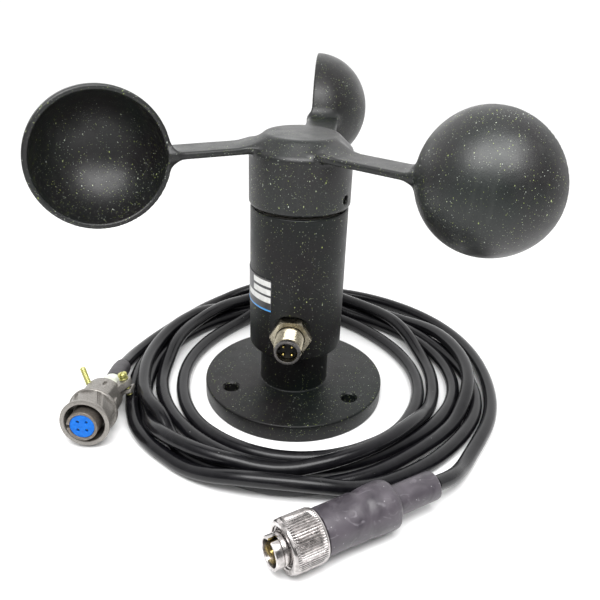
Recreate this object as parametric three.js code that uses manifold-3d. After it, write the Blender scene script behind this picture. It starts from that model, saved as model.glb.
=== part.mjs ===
// Cup anemometer: a three-cup rotor on a sensor housing with a bolt-down flange, and its signal cable,
// which lies in loose turns round the base with a plug on each end.
// Millimetres, +Z up. The origin is on the rotor's axis, in the underside of the flange.
import * as THREE from 'three';
import { mergeVertices } from 'three/addons/utils/BufferGeometryUtils.js';
import Module from 'manifold-3d';

const wasm = await Module();
wasm.setup();

// ---------------------------------------------------------------------------------------------
// Driving dimensions
// ---------------------------------------------------------------------------------------------
const FLANGE_RADIUS = 40;
const FLANGE_HEIGHT = 8;
const NECK_RADIUS = 15;
const MOUNT_CIRCLE_RADIUS = 30;
const MOUNT_HOLE_RADIUS = 3.25;
const MOUNT_HOLE_AZIMUTHS = [-36, -156, 84];

const HOUSING_RADIUS = 20;
const HOUSING_BOTTOM = 27.3;
const HOUSING_TOP = 89.4;
const HOUSING_FLOOR = 5;
const HOUSING_BORE = 17.5;
const CARRIER_SEAT_RADIUS = 18.4;
const CARRIER_SEAT_DEPTH = 2;

const SHAFT_RADIUS = 3;
const FIT_GAP = 0.05;
const BEARING_OUTER_RADIUS = 9.5;
const BEARING_WIDTH = 6;
const LOWER_BEARING_BOTTOM = 58;
const UPPER_BEARING_BOTTOM = 81;
const BALL_CIRCLE_RADIUS = 6.3;
const BALL_RADIUS = 1.25;
const BALL_CLEARANCE = 0.05;
const BALL_COUNT = 7;

const HUB_RADIUS = 20.6;
const HUB_BOTTOM = 90.8;
const HUB_SHOULDER = 112.6;
const HUB_TOP = 118.5;
const HUB_TOP_RADIUS = 14.4;
const HUB_BOSS_RADIUS = 10;
const HUB_BOSS_BOTTOM = 91.8;
const HUB_NECK_RADIUS = 4.4;
const SHAFT_TOP = 108;
const SET_SCREW_AZIMUTH = -29;
const SET_SCREW_HEIGHT = 95;

const CUP_AZIMUTHS = [-34.6, 85.4, -154.6];
const CUP_CIRCLE_RADIUS = 76.8;
const CUP_HEIGHT = 113.8;
const CUP_RADIUS = 25.4;
const CUP_DEPTH = 24.6;
const CUP_WALL = 2;
const ARM_WIDTH = 12;
const ARM_BOTTOM = 111.2;
const ARM_TOP = 114.6;

const BOARD_BOTTOM = 45.9;
const BOARD_THICKNESS = 1.6;
const BOARD_RADIUS = 16.6;
const POST_CIRCLE_RADIUS = 13.2;
const DISC_BOTTOM = 51.4;
const DISC_THICKNESS = 0.8;
const DISC_RADIUS = 13.5;
const DISC_SLOTS = 12;

const RECEPTACLE_AZIMUTH = -95;
const RECEPTACLE_HEIGHT = 39;
const RECEPTACLE_TIP = 34;
const THREAD_RADIUS = 5.8;
const SPOT_FACE_DISTANCE = 18.2;
const SPOT_FACE_RADIUS = 9.2;
const PIN_RADIUS = 0.5;
const PIN_PITCH = 3.5;

const LABEL_FROM_AZIMUTH = -210;
const LABEL_TO_AZIMUTH = -120;
const LABEL_BOTTOM = 48.3;
const LABEL_TOP = 62.7;
const LABEL_THICKNESS = 0.3;

const CABLE_RADIUS = 3;
const COIL_HEIGHT = 17;
const PART_GAP = 0.3;

// Left plug: where its coupling ring's front face is centred, and the way it points.
const PLUG_FRONT = [-82.1, -46.9, 11.55];
const PLUG_AZIMUTH = -92.9;
const PLUG_RISE = 6.5;
// How far the plug's backshell and clamp are turned round its axis, right side up.
const PLUG_ROLL = 17;
// Front connector: where its barrel's tip is centred, and the way it points.
const CONNECTOR_TIP = [-5.9, -107.3, 9.4];
const CONNECTOR_AZIMUTH = -149.4;

// Facets round a turned piece, by its size.
const ROUND_LARGE = 60;
const ROUND_CUP = 30;
const ROUND_MEDIUM = 32;
const ROUND_SMALL = 24;
const ROUND_FINE = 12;
const ROUND_PIN = 8;

// ---------------------------------------------------------------------------------------------
// Materials
// ---------------------------------------------------------------------------------------------
function surface(color, roughness, metalness) {
  return new THREE.MeshStandardMaterial({ color, roughness, metalness });
}
const blackPaint = () => surface(0x2e302f, 0.6, 0.2);
const steel = () => surface(0xb8bcc0, 0.3, 0.9);
const nickel = () => surface(0xb9b39c, 0.35, 0.9);
const zincYellow = () => surface(0xb9a54a, 0.4, 0.8);
const greyAlloy = () => surface(0x8c8882, 0.5, 0.7);
const gold = () => surface(0xd9b24a, 0.3, 1);
const blackPlastic = () => surface(0x141414, 0.5, 0);
const rubber = () => surface(0x1b1b1b, 0.8, 0);
const cableJacket = () => surface(0x1d1d20, 0.45, 0);
const heatShrink = () => surface(0x4a464c, 0.6, 0);
const blueInsert = () => surface(0x2f86e6, 0.45, 0);
const paleLiner = () => surface(0xd6d8c6, 0.5, 0);
const circuitGreen = () => surface(0x1f6a3d, 0.5, 0);
const brass = () => surface(0xc9a45a, 0.35, 0.9);
const labelFilm = () => surface(0x2b2c2e, 0.4, 0);

// ---------------------------------------------------------------------------------------------
// Geometry helpers
// ---------------------------------------------------------------------------------------------
const rad = THREE.MathUtils.degToRad;

function polar(radius, azimuth, height = 0) {
  return new THREE.Vector3(radius * Math.cos(rad(azimuth)), radius * Math.sin(rad(azimuth)), height);
}

function manifoldOf(vertProperties, triVerts) {
  return new wasm.Manifold(new wasm.Mesh({ numProp: 3, vertProperties, triVerts }));
}

// A closed three.js geometry as a solid that faces out.
function toSolid(geometry) {
  const bare = geometry.index ? geometry.toNonIndexed() : geometry.clone();
  bare.deleteAttribute('normal');
  bare.deleteAttribute('uv');
  const merged = mergeVertices(bare, 1e-3);
  const corners = merged.attributes.position.array;
  const triangles = new Uint32Array(merged.index.array);
  const made = manifoldOf(corners, triangles);
  return made.volume() < 0 ? manifoldOf(corners, triangles.reverse()) : made;
}

function toGeometry(solid) {
  const mesh = solid.getMesh();
  const geometry = new THREE.BufferGeometry();
  geometry.setAttribute('position', new THREE.BufferAttribute(mesh.vertProperties, 3));
  geometry.setIndex(new THREE.BufferAttribute(mesh.triVerts, 1));
  geometry.computeVertexNormals();
  return geometry;
}

function join(...geometries) {
  return toGeometry(geometries.map(toSolid).reduce((whole, next) => whole.add(next)));
}

function cut(body, ...tools) {
  return toGeometry(tools.map(toSolid).reduce((left, tool) => left.subtract(tool), toSolid(body)));
}

// A profile of [radius, height] pairs turned round +Z. It starts and ends on the axis, or is closed here.
function turned(profile, segments) {
  const points = profile.map(([radius, height]) => new THREE.Vector2(radius, height));
  const onAxis = profile[0][0] === 0;
  if (!onAxis) points.push(points[0].clone());
  return toGeometry(toSolid(new THREE.LatheGeometry(points, segments).rotateX(Math.PI / 2)));
}

function disc(radius, low, high, segments) {
  return turned([[0, low], [radius, low], [radius, high], [0, high]], segments);
}

function ring(inner, outer, low, high, segments) {
  return turned([[inner, low], [outer, low], [outer, high], [inner, high]], segments);
}

function box(low, high) {
  const size = high.map((value, axis) => value - low[axis]);
  const middle = high.map((value, axis) => (value + low[axis]) / 2);
  return new THREE.BoxGeometry(...size).translate(...middle);
}

// Turns a geometry made along +Z so that it points out from the axis at an azimuth and a height.
function pointedOut(geometry, azimuth, height) {
  return geometry.rotateY(Math.PI / 2).rotateZ(rad(azimuth)).translate(0, 0, height);
}

function rod(path, radius, sides, steps) {
  const section = new THREE.Shape().absarc(0, 0, radius, 0, 2 * Math.PI);
  return new THREE.ExtrudeGeometry(section, { curveSegments: sides / 2, steps, extrudePath: path });
}

function smooth(points) {
  return new THREE.CatmullRomCurve3(points.map((point) => new THREE.Vector3(...point)));
}

function piece(name, geometry, material) {
  const mesh = new THREE.Mesh(geometry, material);
  mesh.name = name;
  return mesh;
}

// A group placed at a point, whose +Z points along an azimuth and rises by an angle, and whose +Y points up.
function pointedGroup(origin, azimuth, rise = 0) {
  const group = new THREE.Group();
  const forward = polar(Math.cos(rad(rise)), azimuth, Math.sin(rad(rise)));
  const side = new THREE.Vector3(0, 0, 1).cross(forward).normalize();
  const up = new THREE.Vector3().crossVectors(forward, side);
  group.quaternion.setFromRotationMatrix(new THREE.Matrix4().makeBasis(side, up, forward));
  group.position.set(...origin);
  return group;
}

// The four places of a square pin pattern.
const pinPlaces = [[-1, -1], [1, -1], [1, 1], [-1, 1]].map((corner) => corner.map((side) => side * PIN_PITCH / 2));

// ---------------------------------------------------------------------------------------------
// Flange and its screws
// ---------------------------------------------------------------------------------------------
const BASE_SCREW_CIRCLE = 9;
const BASE_SCREW_AZIMUTHS = [30, 150, -90];
const SCREW_HEAD_TOP = 4.6;
const SCREW_SHANK_RADIUS = 1.95;
const SCREW_HOLE_RADIUS = 2.1;

function baseFlange() {
  const edge = 0.6;
  const countersink = 0.6;
  const body = turned([
    [0, 0], [FLANGE_RADIUS - edge, 0], [FLANGE_RADIUS, edge], [FLANGE_RADIUS, FLANGE_HEIGHT - edge],
    [FLANGE_RADIUS - edge, FLANGE_HEIGHT], [NECK_RADIUS, FLANGE_HEIGHT], [NECK_RADIUS, HOUSING_BOTTOM],
    [0, HOUSING_BOTTOM],
  ], ROUND_LARGE);
  const mountHoles = MOUNT_HOLE_AZIMUTHS.map((azimuth) => turned([
    [0, -1], [MOUNT_HOLE_RADIUS, -1], [MOUNT_HOLE_RADIUS, FLANGE_HEIGHT - countersink],
    [MOUNT_HOLE_RADIUS + 2 * countersink, FLANGE_HEIGHT + countersink], [0, FLANGE_HEIGHT + countersink],
  ], ROUND_SMALL).translate(...polar(MOUNT_CIRCLE_RADIUS, azimuth)));
  const headRoom = 3.8;
  const screwHoles = BASE_SCREW_AZIMUTHS.map((azimuth) => turned([
    [0, -1], [headRoom, -1], [headRoom, SCREW_HEAD_TOP], [SCREW_HOLE_RADIUS, SCREW_HEAD_TOP],
    [SCREW_HOLE_RADIUS, HOUSING_BOTTOM + 1], [0, HOUSING_BOTTOM + 1],
  ], ROUND_FINE).translate(...polar(BASE_SCREW_CIRCLE, azimuth)));
  return piece('base_flange', cut(body, ...mountHoles, ...screwHoles), blackPaint());
}

function baseScrew(number, azimuth) {
  const headBottom = 0.6;
  const headRadius = 3.5;
  const tip = 31.8;
  const body = turned([
    [0, headBottom], [headRadius, headBottom], [headRadius, SCREW_HEAD_TOP], [SCREW_SHANK_RADIUS, SCREW_HEAD_TOP],
    [SCREW_SHANK_RADIUS, tip], [0, tip],
  ], ROUND_FINE);
  const keySocket = disc(1.7, 0, 2.6, 6);
  const screw = piece(`base_screw_${number}`, cut(body, keySocket), steel());
  screw.position.copy(polar(BASE_SCREW_CIRCLE, azimuth));
  return screw;
}

// ---------------------------------------------------------------------------------------------
// Housing, label and bearing carrier
// ---------------------------------------------------------------------------------------------
function sensorHousing() {
  const bottomEdge = 1.2;
  const topEdge = 0.5;
  const body = turned([
    [0, HOUSING_BOTTOM], [HOUSING_RADIUS - bottomEdge, HOUSING_BOTTOM],
    [HOUSING_RADIUS, HOUSING_BOTTOM + bottomEdge], [HOUSING_RADIUS, HOUSING_TOP - topEdge],
    [HOUSING_RADIUS - topEdge, HOUSING_TOP], [CARRIER_SEAT_RADIUS, HOUSING_TOP],
    [CARRIER_SEAT_RADIUS, HOUSING_TOP - CARRIER_SEAT_DEPTH], [HOUSING_BORE, HOUSING_TOP - CARRIER_SEAT_DEPTH],
    [HOUSING_BORE, HOUSING_BOTTOM + HOUSING_FLOOR], [0, HOUSING_BOTTOM + HOUSING_FLOOR],
  ], ROUND_LARGE);
  const port = pointedOut(disc(THREAD_RADIUS + PART_GAP, 10, 30, ROUND_SMALL), RECEPTACLE_AZIMUTH, RECEPTACLE_HEIGHT);
  const spotFace = pointedOut(
    disc(SPOT_FACE_RADIUS, SPOT_FACE_DISTANCE, 30, ROUND_MEDIUM), RECEPTACLE_AZIMUTH, RECEPTACLE_HEIGHT);
  const threads = BASE_SCREW_AZIMUTHS.map((azimuth) => disc(
    SCREW_HOLE_RADIUS, HOUSING_BOTTOM - 1, HOUSING_BOTTOM + HOUSING_FLOOR + 1, ROUND_FINE,
  ).translate(...polar(BASE_SCREW_CIRCLE, azimuth)));
  return piece('sensor_housing', cut(body, port, spotFace, ...threads), blackPaint());
}

function labelPlate() {
  const inner = HOUSING_RADIUS + FIT_GAP;
  const facetAngle = 360 / ROUND_LARGE;
  const outline = new THREE.Shape();
  outline.absarc(0, 0, inner + LABEL_THICKNESS, rad(LABEL_FROM_AZIMUTH), rad(LABEL_TO_AZIMUTH), false);
  outline.absarc(0, 0, inner, rad(LABEL_TO_AZIMUTH), rad(LABEL_FROM_AZIMUTH), true);
  const curveSegments = (LABEL_TO_AZIMUTH - LABEL_FROM_AZIMUTH) / facetAngle / 2;
  const film = new THREE.ExtrudeGeometry(outline, {
    depth: LABEL_TOP - LABEL_BOTTOM, bevelEnabled: false, curveSegments,
  });
  return piece('label_film', film.translate(0, 0, LABEL_BOTTOM), labelFilm());
}

const SEAL_GROOVE = [69, 71];

function bearingCarrier() {
  const outer = HOUSING_BORE - PART_GAP;
  const seat = BEARING_OUTER_RADIUS + FIT_GAP;
  const shoulder = 7.5;
  const grooveRadius = 15.6;
  const bottom = 57;
  const lipInner = 11;
  const lipOuter = 16;
  const lipTop = 92.3;
  const flangeRadius = CARRIER_SEAT_RADIUS - 0.2;
  const flangeBottom = HOUSING_TOP - CARRIER_SEAT_DEPTH + 0.1;
  const body = turned([
    [seat, bottom], [outer, bottom], [outer, SEAL_GROOVE[0]], [grooveRadius, SEAL_GROOVE[0]],
    [grooveRadius, SEAL_GROOVE[1]], [outer, SEAL_GROOVE[1]], [outer, flangeBottom],
    [flangeRadius, flangeBottom], [flangeRadius, HOUSING_TOP], [lipOuter, HOUSING_TOP], [lipOuter, lipTop],
    [lipInner, lipTop], [lipInner, HOUSING_TOP], [seat, HOUSING_TOP], [seat, UPPER_BEARING_BOTTOM],
    [shoulder, UPPER_BEARING_BOTTOM], [shoulder, LOWER_BEARING_BOTTOM + BEARING_WIDTH],
    [seat, LOWER_BEARING_BOTTOM + BEARING_WIDTH],
  ], ROUND_MEDIUM);
  return piece('bearing_carrier', body, greyAlloy());
}

function carrierSeal() {
  const section = 0.85;
  const centre = new THREE.Vector2(16.6, (SEAL_GROOVE[0] + SEAL_GROOVE[1]) / 2);
  const sides = 6;
  const profile = Array.from({ length: sides }, (_, side) => {
    const turn = 2 * Math.PI * side / sides;
    return [centre.x + section * Math.cos(turn), centre.y + section * Math.sin(turn)];
  });
  return piece('carrier_o_ring', turned(profile, ROUND_MEDIUM), rubber());
}

// ---------------------------------------------------------------------------------------------
// Bearings, shaft and what turns with it inside
// ---------------------------------------------------------------------------------------------
function bearing(prefix, bottom) {
  const top = bottom + BEARING_WIDTH;
  const reach = BALL_RADIUS + BALL_CLEARANCE;
  const middle = bottom + BEARING_WIDTH / 2;
  const cageHalf = 0.6;
  const cageWall = 0.4;
  const balls = Array.from({ length: BALL_COUNT }, (_, number) => new THREE.SphereGeometry(BALL_RADIUS, 6, 4)
    .translate(...polar(BALL_CIRCLE_RADIUS, 360 * number / BALL_COUNT, middle)));
  const cage = ring(
    BALL_CIRCLE_RADIUS - cageWall, BALL_CIRCLE_RADIUS + cageWall, middle - cageHalf, middle + cageHalf, ROUND_SMALL);
  return [
    piece(`${prefix}_bearing_outer_ring`,
      ring(BALL_CIRCLE_RADIUS + reach, BEARING_OUTER_RADIUS, bottom, top, ROUND_MEDIUM), steel()),
    piece(`${prefix}_bearing_inner_ring`,
      ring(SHAFT_RADIUS + FIT_GAP, BALL_CIRCLE_RADIUS - reach, bottom, top, ROUND_SMALL), steel()),
    piece(`${prefix}_bearing_ball_cage`, join(cage, ...balls), brass()),
  ];
}

function shaft() {
  const bottom = 49.6;
  const edge = 0.4;
  const body = turned([
    [0, bottom], [SHAFT_RADIUS - edge, bottom], [SHAFT_RADIUS, bottom + edge], [SHAFT_RADIUS, SHAFT_TOP - edge],
    [SHAFT_RADIUS - edge, SHAFT_TOP], [0, SHAFT_TOP],
  ], ROUND_SMALL);
  return piece('shaft', body, steel());
}

function bearingSpacer() {
  const tube = ring(
    SHAFT_RADIUS + FIT_GAP, 4.5, LOWER_BEARING_BOTTOM + BEARING_WIDTH, UPPER_BEARING_BOTTOM, ROUND_SMALL);
  return piece('bearing_spacer', tube, steel());
}

function shaftCirclip() {
  const low = 56.9;
  const high = 57.9;
  const mouth = box([0, -1.2, low - 1], [8, 1.2, high + 1]);
  return piece('shaft_circlip', cut(ring(SHAFT_RADIUS + FIT_GAP, 5.2, low, high, ROUND_SMALL), mouth), steel());
}

function shaftSeal() {
  const low = UPPER_BEARING_BOTTOM + BEARING_WIDTH + 0.2;
  return piece('shaft_seal', ring(HUB_NECK_RADIUS + 0.2, BEARING_OUTER_RADIUS, low, low + 2, ROUND_MEDIUM), rubber());
}

const DISC_SCREW_HEIGHT = 54.1;
const DISC_COLLAR_RADIUS = 5.2;

function codeDisc() {
  const bore = SHAFT_RADIUS + FIT_GAP;
  const collarTop = 56;
  const body = turned([
    [bore, DISC_BOTTOM], [DISC_RADIUS, DISC_BOTTOM], [DISC_RADIUS, DISC_BOTTOM + DISC_THICKNESS],
    [DISC_COLLAR_RADIUS, DISC_BOTTOM + DISC_THICKNESS], [DISC_COLLAR_RADIUS, collarTop], [bore, collarTop],
  ], ROUND_MEDIUM);
  const slots = Array.from({ length: DISC_SLOTS }, (_, number) => box([8.8, -1, 50], [12.4, 1, 53])
    .rotateZ(2 * Math.PI * number / DISC_SLOTS));
  const screwHole = pointedOut(disc(1.2, 2, 8, ROUND_PIN), 0, DISC_SCREW_HEIGHT);
  return piece('code_disc', cut(body, ...slots, screwHole), steel());
}

function codeDiscScrew() {
  const body = pointedOut(disc(0.9, SHAFT_RADIUS + PART_GAP, DISC_COLLAR_RADIUS, ROUND_PIN), 0, DISC_SCREW_HEIGHT);
  return piece('code_disc_screw', body, steel());
}

// ---------------------------------------------------------------------------------------------
// Circuit board
// ---------------------------------------------------------------------------------------------
const POST_AZIMUTHS = [90, -30, -150];
const BOARD_TOP = BOARD_BOTTOM + BOARD_THICKNESS;
const BOARD_SCREW_RADIUS = 1.2;
const BOARD_SCREW_TIP = 40;

function circuitBoard() {
  const holes = POST_AZIMUTHS.map((azimuth) => disc(1.5, BOARD_BOTTOM - 1, BOARD_TOP + 1, ROUND_PIN)
    .translate(...polar(POST_CIRCLE_RADIUS, azimuth)));
  const body = disc(BOARD_RADIUS, BOARD_BOTTOM, BOARD_TOP, ROUND_MEDIUM);
  return piece('circuit_board', cut(body, ...holes), circuitGreen());
}

function boardPost(number, azimuth) {
  const body = disc(2.6, HOUSING_BOTTOM + HOUSING_FLOOR, BOARD_BOTTOM, 6);
  const thread = disc(BOARD_SCREW_RADIUS + 0.15, BOARD_SCREW_TIP - 1, BOARD_BOTTOM + 1, ROUND_PIN);
  const post = piece(`board_post_${number}`, cut(body, thread), brass());
  post.position.copy(polar(POST_CIRCLE_RADIUS, azimuth));
  return post;
}

function boardScrew(number, azimuth) {
  const headTop = BOARD_TOP + 1.5;
  const headRadius = 2.2;
  const body = turned([
    [0, BOARD_SCREW_TIP], [BOARD_SCREW_RADIUS, BOARD_SCREW_TIP], [BOARD_SCREW_RADIUS, BOARD_TOP],
    [headRadius, BOARD_TOP], [headRadius, headTop], [0, headTop],
  ], ROUND_PIN);
  const screw = piece(`board_screw_${number}`, body, steel());
  screw.position.copy(polar(POST_CIRCLE_RADIUS, azimuth));
  return screw;
}

// A light gate: its two jaws stand over and under the code disc's rim.
function lightSensor() {
  const body = box([-16, -3, BOARD_TOP], [-9.6, 3, 56]);
  const gate = box([-14.2, -4, 50.4], [-8, 4, 53.4]);
  return piece('light_sensor', cut(body, gate), blackPlastic());
}

// The wires run from the receptacle's pins inwards and up to the underside of the board.
function signalLoom() {
  const path = smooth([
    polar(10.4, RECEPTACLE_AZIMUTH, RECEPTACLE_HEIGHT).toArray(), polar(7, RECEPTACLE_AZIMUTH, 39.4).toArray(),
    polar(4.4, RECEPTACLE_AZIMUTH, 41.6).toArray(), polar(3.8, RECEPTACLE_AZIMUTH, 45.4).toArray(),
  ]);
  return piece('signal_loom', rod(path, 1.4, 8, 8), surface(0x7a7f88, 0.6, 0));
}

// ---------------------------------------------------------------------------------------------
// Receptacle: made along +Z, where Z is the distance out from the rotor's axis
// ---------------------------------------------------------------------------------------------
function receptacle() {
  const cavity = 4.2;
  const tipRadius = 5.3;
  const rear = 12;
  const shoulder = [14.4, 15.9];
  const shoulderRadius = 6.4;
  const shell = turned([
    [cavity, rear], [THREAD_RADIUS, rear], [THREAD_RADIUS, shoulder[0]], [shoulderRadius, shoulder[0]],
    [shoulderRadius, shoulder[1]], [THREAD_RADIUS, shoulder[1]], [THREAD_RADIUS, RECEPTACLE_TIP - 2],
    [tipRadius, RECEPTACLE_TIP - 1.5], [tipRadius, RECEPTACLE_TIP], [cavity, RECEPTACLE_TIP],
  ], ROUND_SMALL);
  const insertFront = 31.4;
  const pinHoles = pinPlaces.map((place) => (
    disc(PIN_RADIUS + PART_GAP, 10, insertFront + 1, ROUND_PIN).translate(...place, 0)));
  const insert = cut(disc(cavity - PART_GAP, rear + 1, insertFront, ROUND_SMALL), ...pinHoles);
  const hole = THREAD_RADIUS + PART_GAP;
  const washerBack = SPOT_FACE_DISTANCE + PART_GAP;
  const washerFront = washerBack + 0.5;
  const nutBack = washerFront + PART_GAP;
  const nutFront = 22.9;
  const nutAcrossCorners = 8.78;
  const nut = cut(
    disc(nutAcrossCorners, nutBack, nutFront, 6).rotateZ(Math.PI / 2), disc(hole, nutBack - 1, nutFront + 1, ROUND_SMALL));
  const group = pointedGroup([0, 0, RECEPTACLE_HEIGHT], RECEPTACLE_AZIMUTH);
  group.add(
    piece('receptacle_shell', shell, nickel()),
    piece('receptacle_insert', insert, blackPlastic()),
    piece('receptacle_nut', nut, nickel()),
    piece('receptacle_washer', ring(hole, 7.4, washerBack, washerFront, ROUND_SMALL), rubber()),
    ...pinPlaces.map((place, number) => piece(
      `receptacle_pin_${number + 1}`, disc(PIN_RADIUS, 11, 32.4, ROUND_PIN).translate(...place, 0), gold())),
  );
  return group;
}

// ---------------------------------------------------------------------------------------------
// Rotor: hub with three arms, and a cup at the end of each
// ---------------------------------------------------------------------------------------------
function cupCentre(azimuth) {
  return polar(CUP_CIRCLE_RADIUS, azimuth, CUP_HEIGHT);
}

function rotorHub() {
  const edge = 0.5;
  const skirtInner = 17.8;
  const cavityTop = 106;
  const bore = SHAFT_RADIUS + FIT_GAP;
  const neckBottom = UPPER_BEARING_BOTTOM + BEARING_WIDTH;
  const body = turned([
    [0, SHAFT_TOP + PART_GAP], [bore, SHAFT_TOP + PART_GAP], [bore, neckBottom], [HUB_NECK_RADIUS, neckBottom],
    [HUB_NECK_RADIUS, HUB_BOSS_BOTTOM], [HUB_BOSS_RADIUS, HUB_BOSS_BOTTOM], [HUB_BOSS_RADIUS, cavityTop],
    [skirtInner, cavityTop], [skirtInner, HUB_BOTTOM], [HUB_RADIUS - edge, HUB_BOTTOM],
    [HUB_RADIUS, HUB_BOTTOM + edge], [HUB_RADIUS, HUB_SHOULDER], [HUB_TOP_RADIUS, HUB_TOP], [0, HUB_TOP],
  ], ROUND_MEDIUM);
  const armEnd = CUP_CIRCLE_RADIUS - CUP_RADIUS / 2;
  const arms = CUP_AZIMUTHS.map((azimuth) => {
    const bar = box([12, -ARM_WIDTH, ARM_BOTTOM], [armEnd, 0, ARM_TOP]);
    const cupRoom = new THREE.SphereGeometry(CUP_RADIUS + PART_GAP, ROUND_SMALL, 20)
      .translate(CUP_CIRCLE_RADIUS, 0, CUP_HEIGHT);
    return cut(bar, cupRoom).rotateZ(rad(azimuth));
  });
  const screwHole = pointedOut(disc(1.75, SHAFT_RADIUS, 24, ROUND_FINE), SET_SCREW_AZIMUTH, SET_SCREW_HEIGHT);
  return piece('rotor_hub', cut(join(body, ...arms), screwHole), blackPaint());
}

function hubSetScrew() {
  const body = disc(1.45, SHAFT_RADIUS + PART_GAP, HUB_BOSS_RADIUS - 0.4, ROUND_FINE);
  return piece('hub_set_screw', pointedOut(body, SET_SCREW_AZIMUTH, SET_SCREW_HEIGHT), steel());
}

// A cup opens along the way its arm turns, anticlockwise seen from above.
function cup(number, azimuth) {
  const arcPoints = 8;
  const arc = (radius, depth) => Array.from({ length: arcPoints }, (_, step) => {
    const turn = Math.PI / 2 * step / (arcPoints - 1);
    return [step === 0 ? 0 : radius * Math.sin(turn), -depth * Math.cos(turn)];
  });
  const outside = arc(CUP_RADIUS, CUP_DEPTH);
  const inside = arc(CUP_RADIUS - CUP_WALL, CUP_DEPTH - CUP_WALL).reverse();
  const shell = piece(`cup_${number}`, turned([...outside, ...inside], ROUND_CUP), blackPaint());
  const holder = pointedGroup(cupCentre(azimuth), azimuth + 90);
  holder.add(shell);
  return holder;
}

// ---------------------------------------------------------------------------------------------
// Left plug: made along +Z, with Z = 0 at its coupling ring's front face
// ---------------------------------------------------------------------------------------------
const CLAMP_SCREW_SIDE = 8;
const CLAMP_SCREW_BACK = -30.3;
const CLAMP_SCREW_RADIUS = 1.3;
const CLAMP_HALF_WIDTH = 10.4;
const CLAMP_REAR = -33.5;
const CLAMP_FRONT = -27.3;
const CLAMP_TOP = 2.4;
const CLAMP_SPLIT = -0.3;
const SADDLE_TOP = -1.7;
const CLAMP_BOTTOM = -5.7;
const CLAMP_HUMP_HALF_WIDTH = 5.5;
const CLAMP_EAR_BOTTOM = -3.3;
const BACKSHELL_REAR = -25;
const LINER_ROOM = 4.95;

function couplingRing() {
  const radius = 10.2;
  const edge = 0.5;
  const length = 11.5;
  const body = turned([
    [6.6, -length], [radius - edge, -length], [radius, edge - length], [radius, -edge], [radius - edge, 0],
    [8.2, 0], [8.2, 2 - length], [6.6, 2 - length],
  ], ROUND_MEDIUM);
  return piece('plug_coupling_ring', body, greyAlloy());
}

function clampScrewHoles() {
  return [-1, 1].map((side) => disc(CLAMP_SCREW_RADIUS + PART_GAP, -9, 9, ROUND_PIN)
    .rotateX(Math.PI / 2).translate(side * CLAMP_SCREW_SIDE, 0, CLAMP_SCREW_BACK));
}

// A round shell, with two ears behind that are the upper half of the cable clamp.
function plugBackshell() {
  const front = -11.9;
  const radius = 8;
  const collarRadius = 8.8;
  const socketRadius = 6.5;
  const socketDepth = -16;
  const barrel = turned([
    [socketRadius, front], [radius, front], [collarRadius, front - 2], [collarRadius, front - 6],
    [radius, front - 8], [radius, BACKSHELL_REAR], [LINER_ROOM, BACKSHELL_REAR], [LINER_ROOM, socketDepth],
    [socketRadius, socketDepth],
  ], ROUND_SMALL);
  const ears = box([-CLAMP_HALF_WIDTH, CLAMP_SPLIT, CLAMP_REAR], [CLAMP_HALF_WIDTH, CLAMP_TOP, BACKSHELL_REAR + 2]);
  const cableWay = disc(LINER_ROOM, CLAMP_REAR - 1, BACKSHELL_REAR + 3, ROUND_SMALL);
  return piece('plug_backshell', cut(join(barrel, ears), cableWay, ...clampScrewHoles()), greyAlloy());
}

// The lower half of the clamp: a hump under the cable, with an ear on each side.
function clampSaddle() {
  const ears = box([-CLAMP_HALF_WIDTH, CLAMP_EAR_BOTTOM, CLAMP_REAR], [CLAMP_HALF_WIDTH, SADDLE_TOP, CLAMP_FRONT]);
  const hump = box(
    [-CLAMP_HUMP_HALF_WIDTH, CLAMP_BOTTOM, CLAMP_REAR], [CLAMP_HUMP_HALF_WIDTH, CLAMP_EAR_BOTTOM + 1, CLAMP_FRONT]);
  const cableWay = disc(LINER_ROOM, CLAMP_REAR - 1, CLAMP_FRONT + 1, ROUND_SMALL);
  return piece('plug_clamp_saddle', cut(join(ears, hump), cableWay, ...clampScrewHoles()), greyAlloy());
}

// Each screw runs through both halves of the clamp. One has its head on top, the other underneath.
function clampScrew(number, side, headUp, head, length) {
  const headRadius = 2;
  const body = turned([
    [0, 0], [headRadius, 0], [headRadius, head], [CLAMP_SCREW_RADIUS, head], [CLAMP_SCREW_RADIUS, length + head],
    [0, length + head],
  ], ROUND_PIN);
  const start = headUp ? CLAMP_TOP + PART_GAP + head : CLAMP_EAR_BOTTOM - PART_GAP - head;
  const turn = headUp ? Math.PI / 2 : -Math.PI / 2;
  const placed = body.rotateX(turn).translate(side * CLAMP_SCREW_SIDE, start, CLAMP_SCREW_BACK);
  return piece(`plug_clamp_screw_${number}`, placed, zincYellow());
}

function plug() {
  const group = pointedGroup(PLUG_FRONT, PLUG_AZIMUTH, PLUG_RISE);
  const insertHoles = pinPlaces.map((place) => disc(0.55, -4, 4, ROUND_PIN).translate(...place, 0));
  const rear = new THREE.Group();
  rear.rotation.z = rad(PLUG_ROLL);
  rear.add(plugBackshell(), clampSaddle(), clampScrew(1, 1, true, 3.2, 9.6), clampScrew(2, -1, false, 1.4, 15.6));
  group.add(
    couplingRing(),
    piece('plug_barrel', ring(5, 6.2, -14, 2.6, ROUND_SMALL), greyAlloy()),
    piece('plug_insert', cut(disc(4.7, -13.5, 2.4, ROUND_SMALL), ...insertHoles), blueInsert()),
    rear,
    piece('plug_liner', ring(3.4, 4.7, -36.6, -17, ROUND_SMALL), paleLiner()),
  );
  return group;
}

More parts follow.
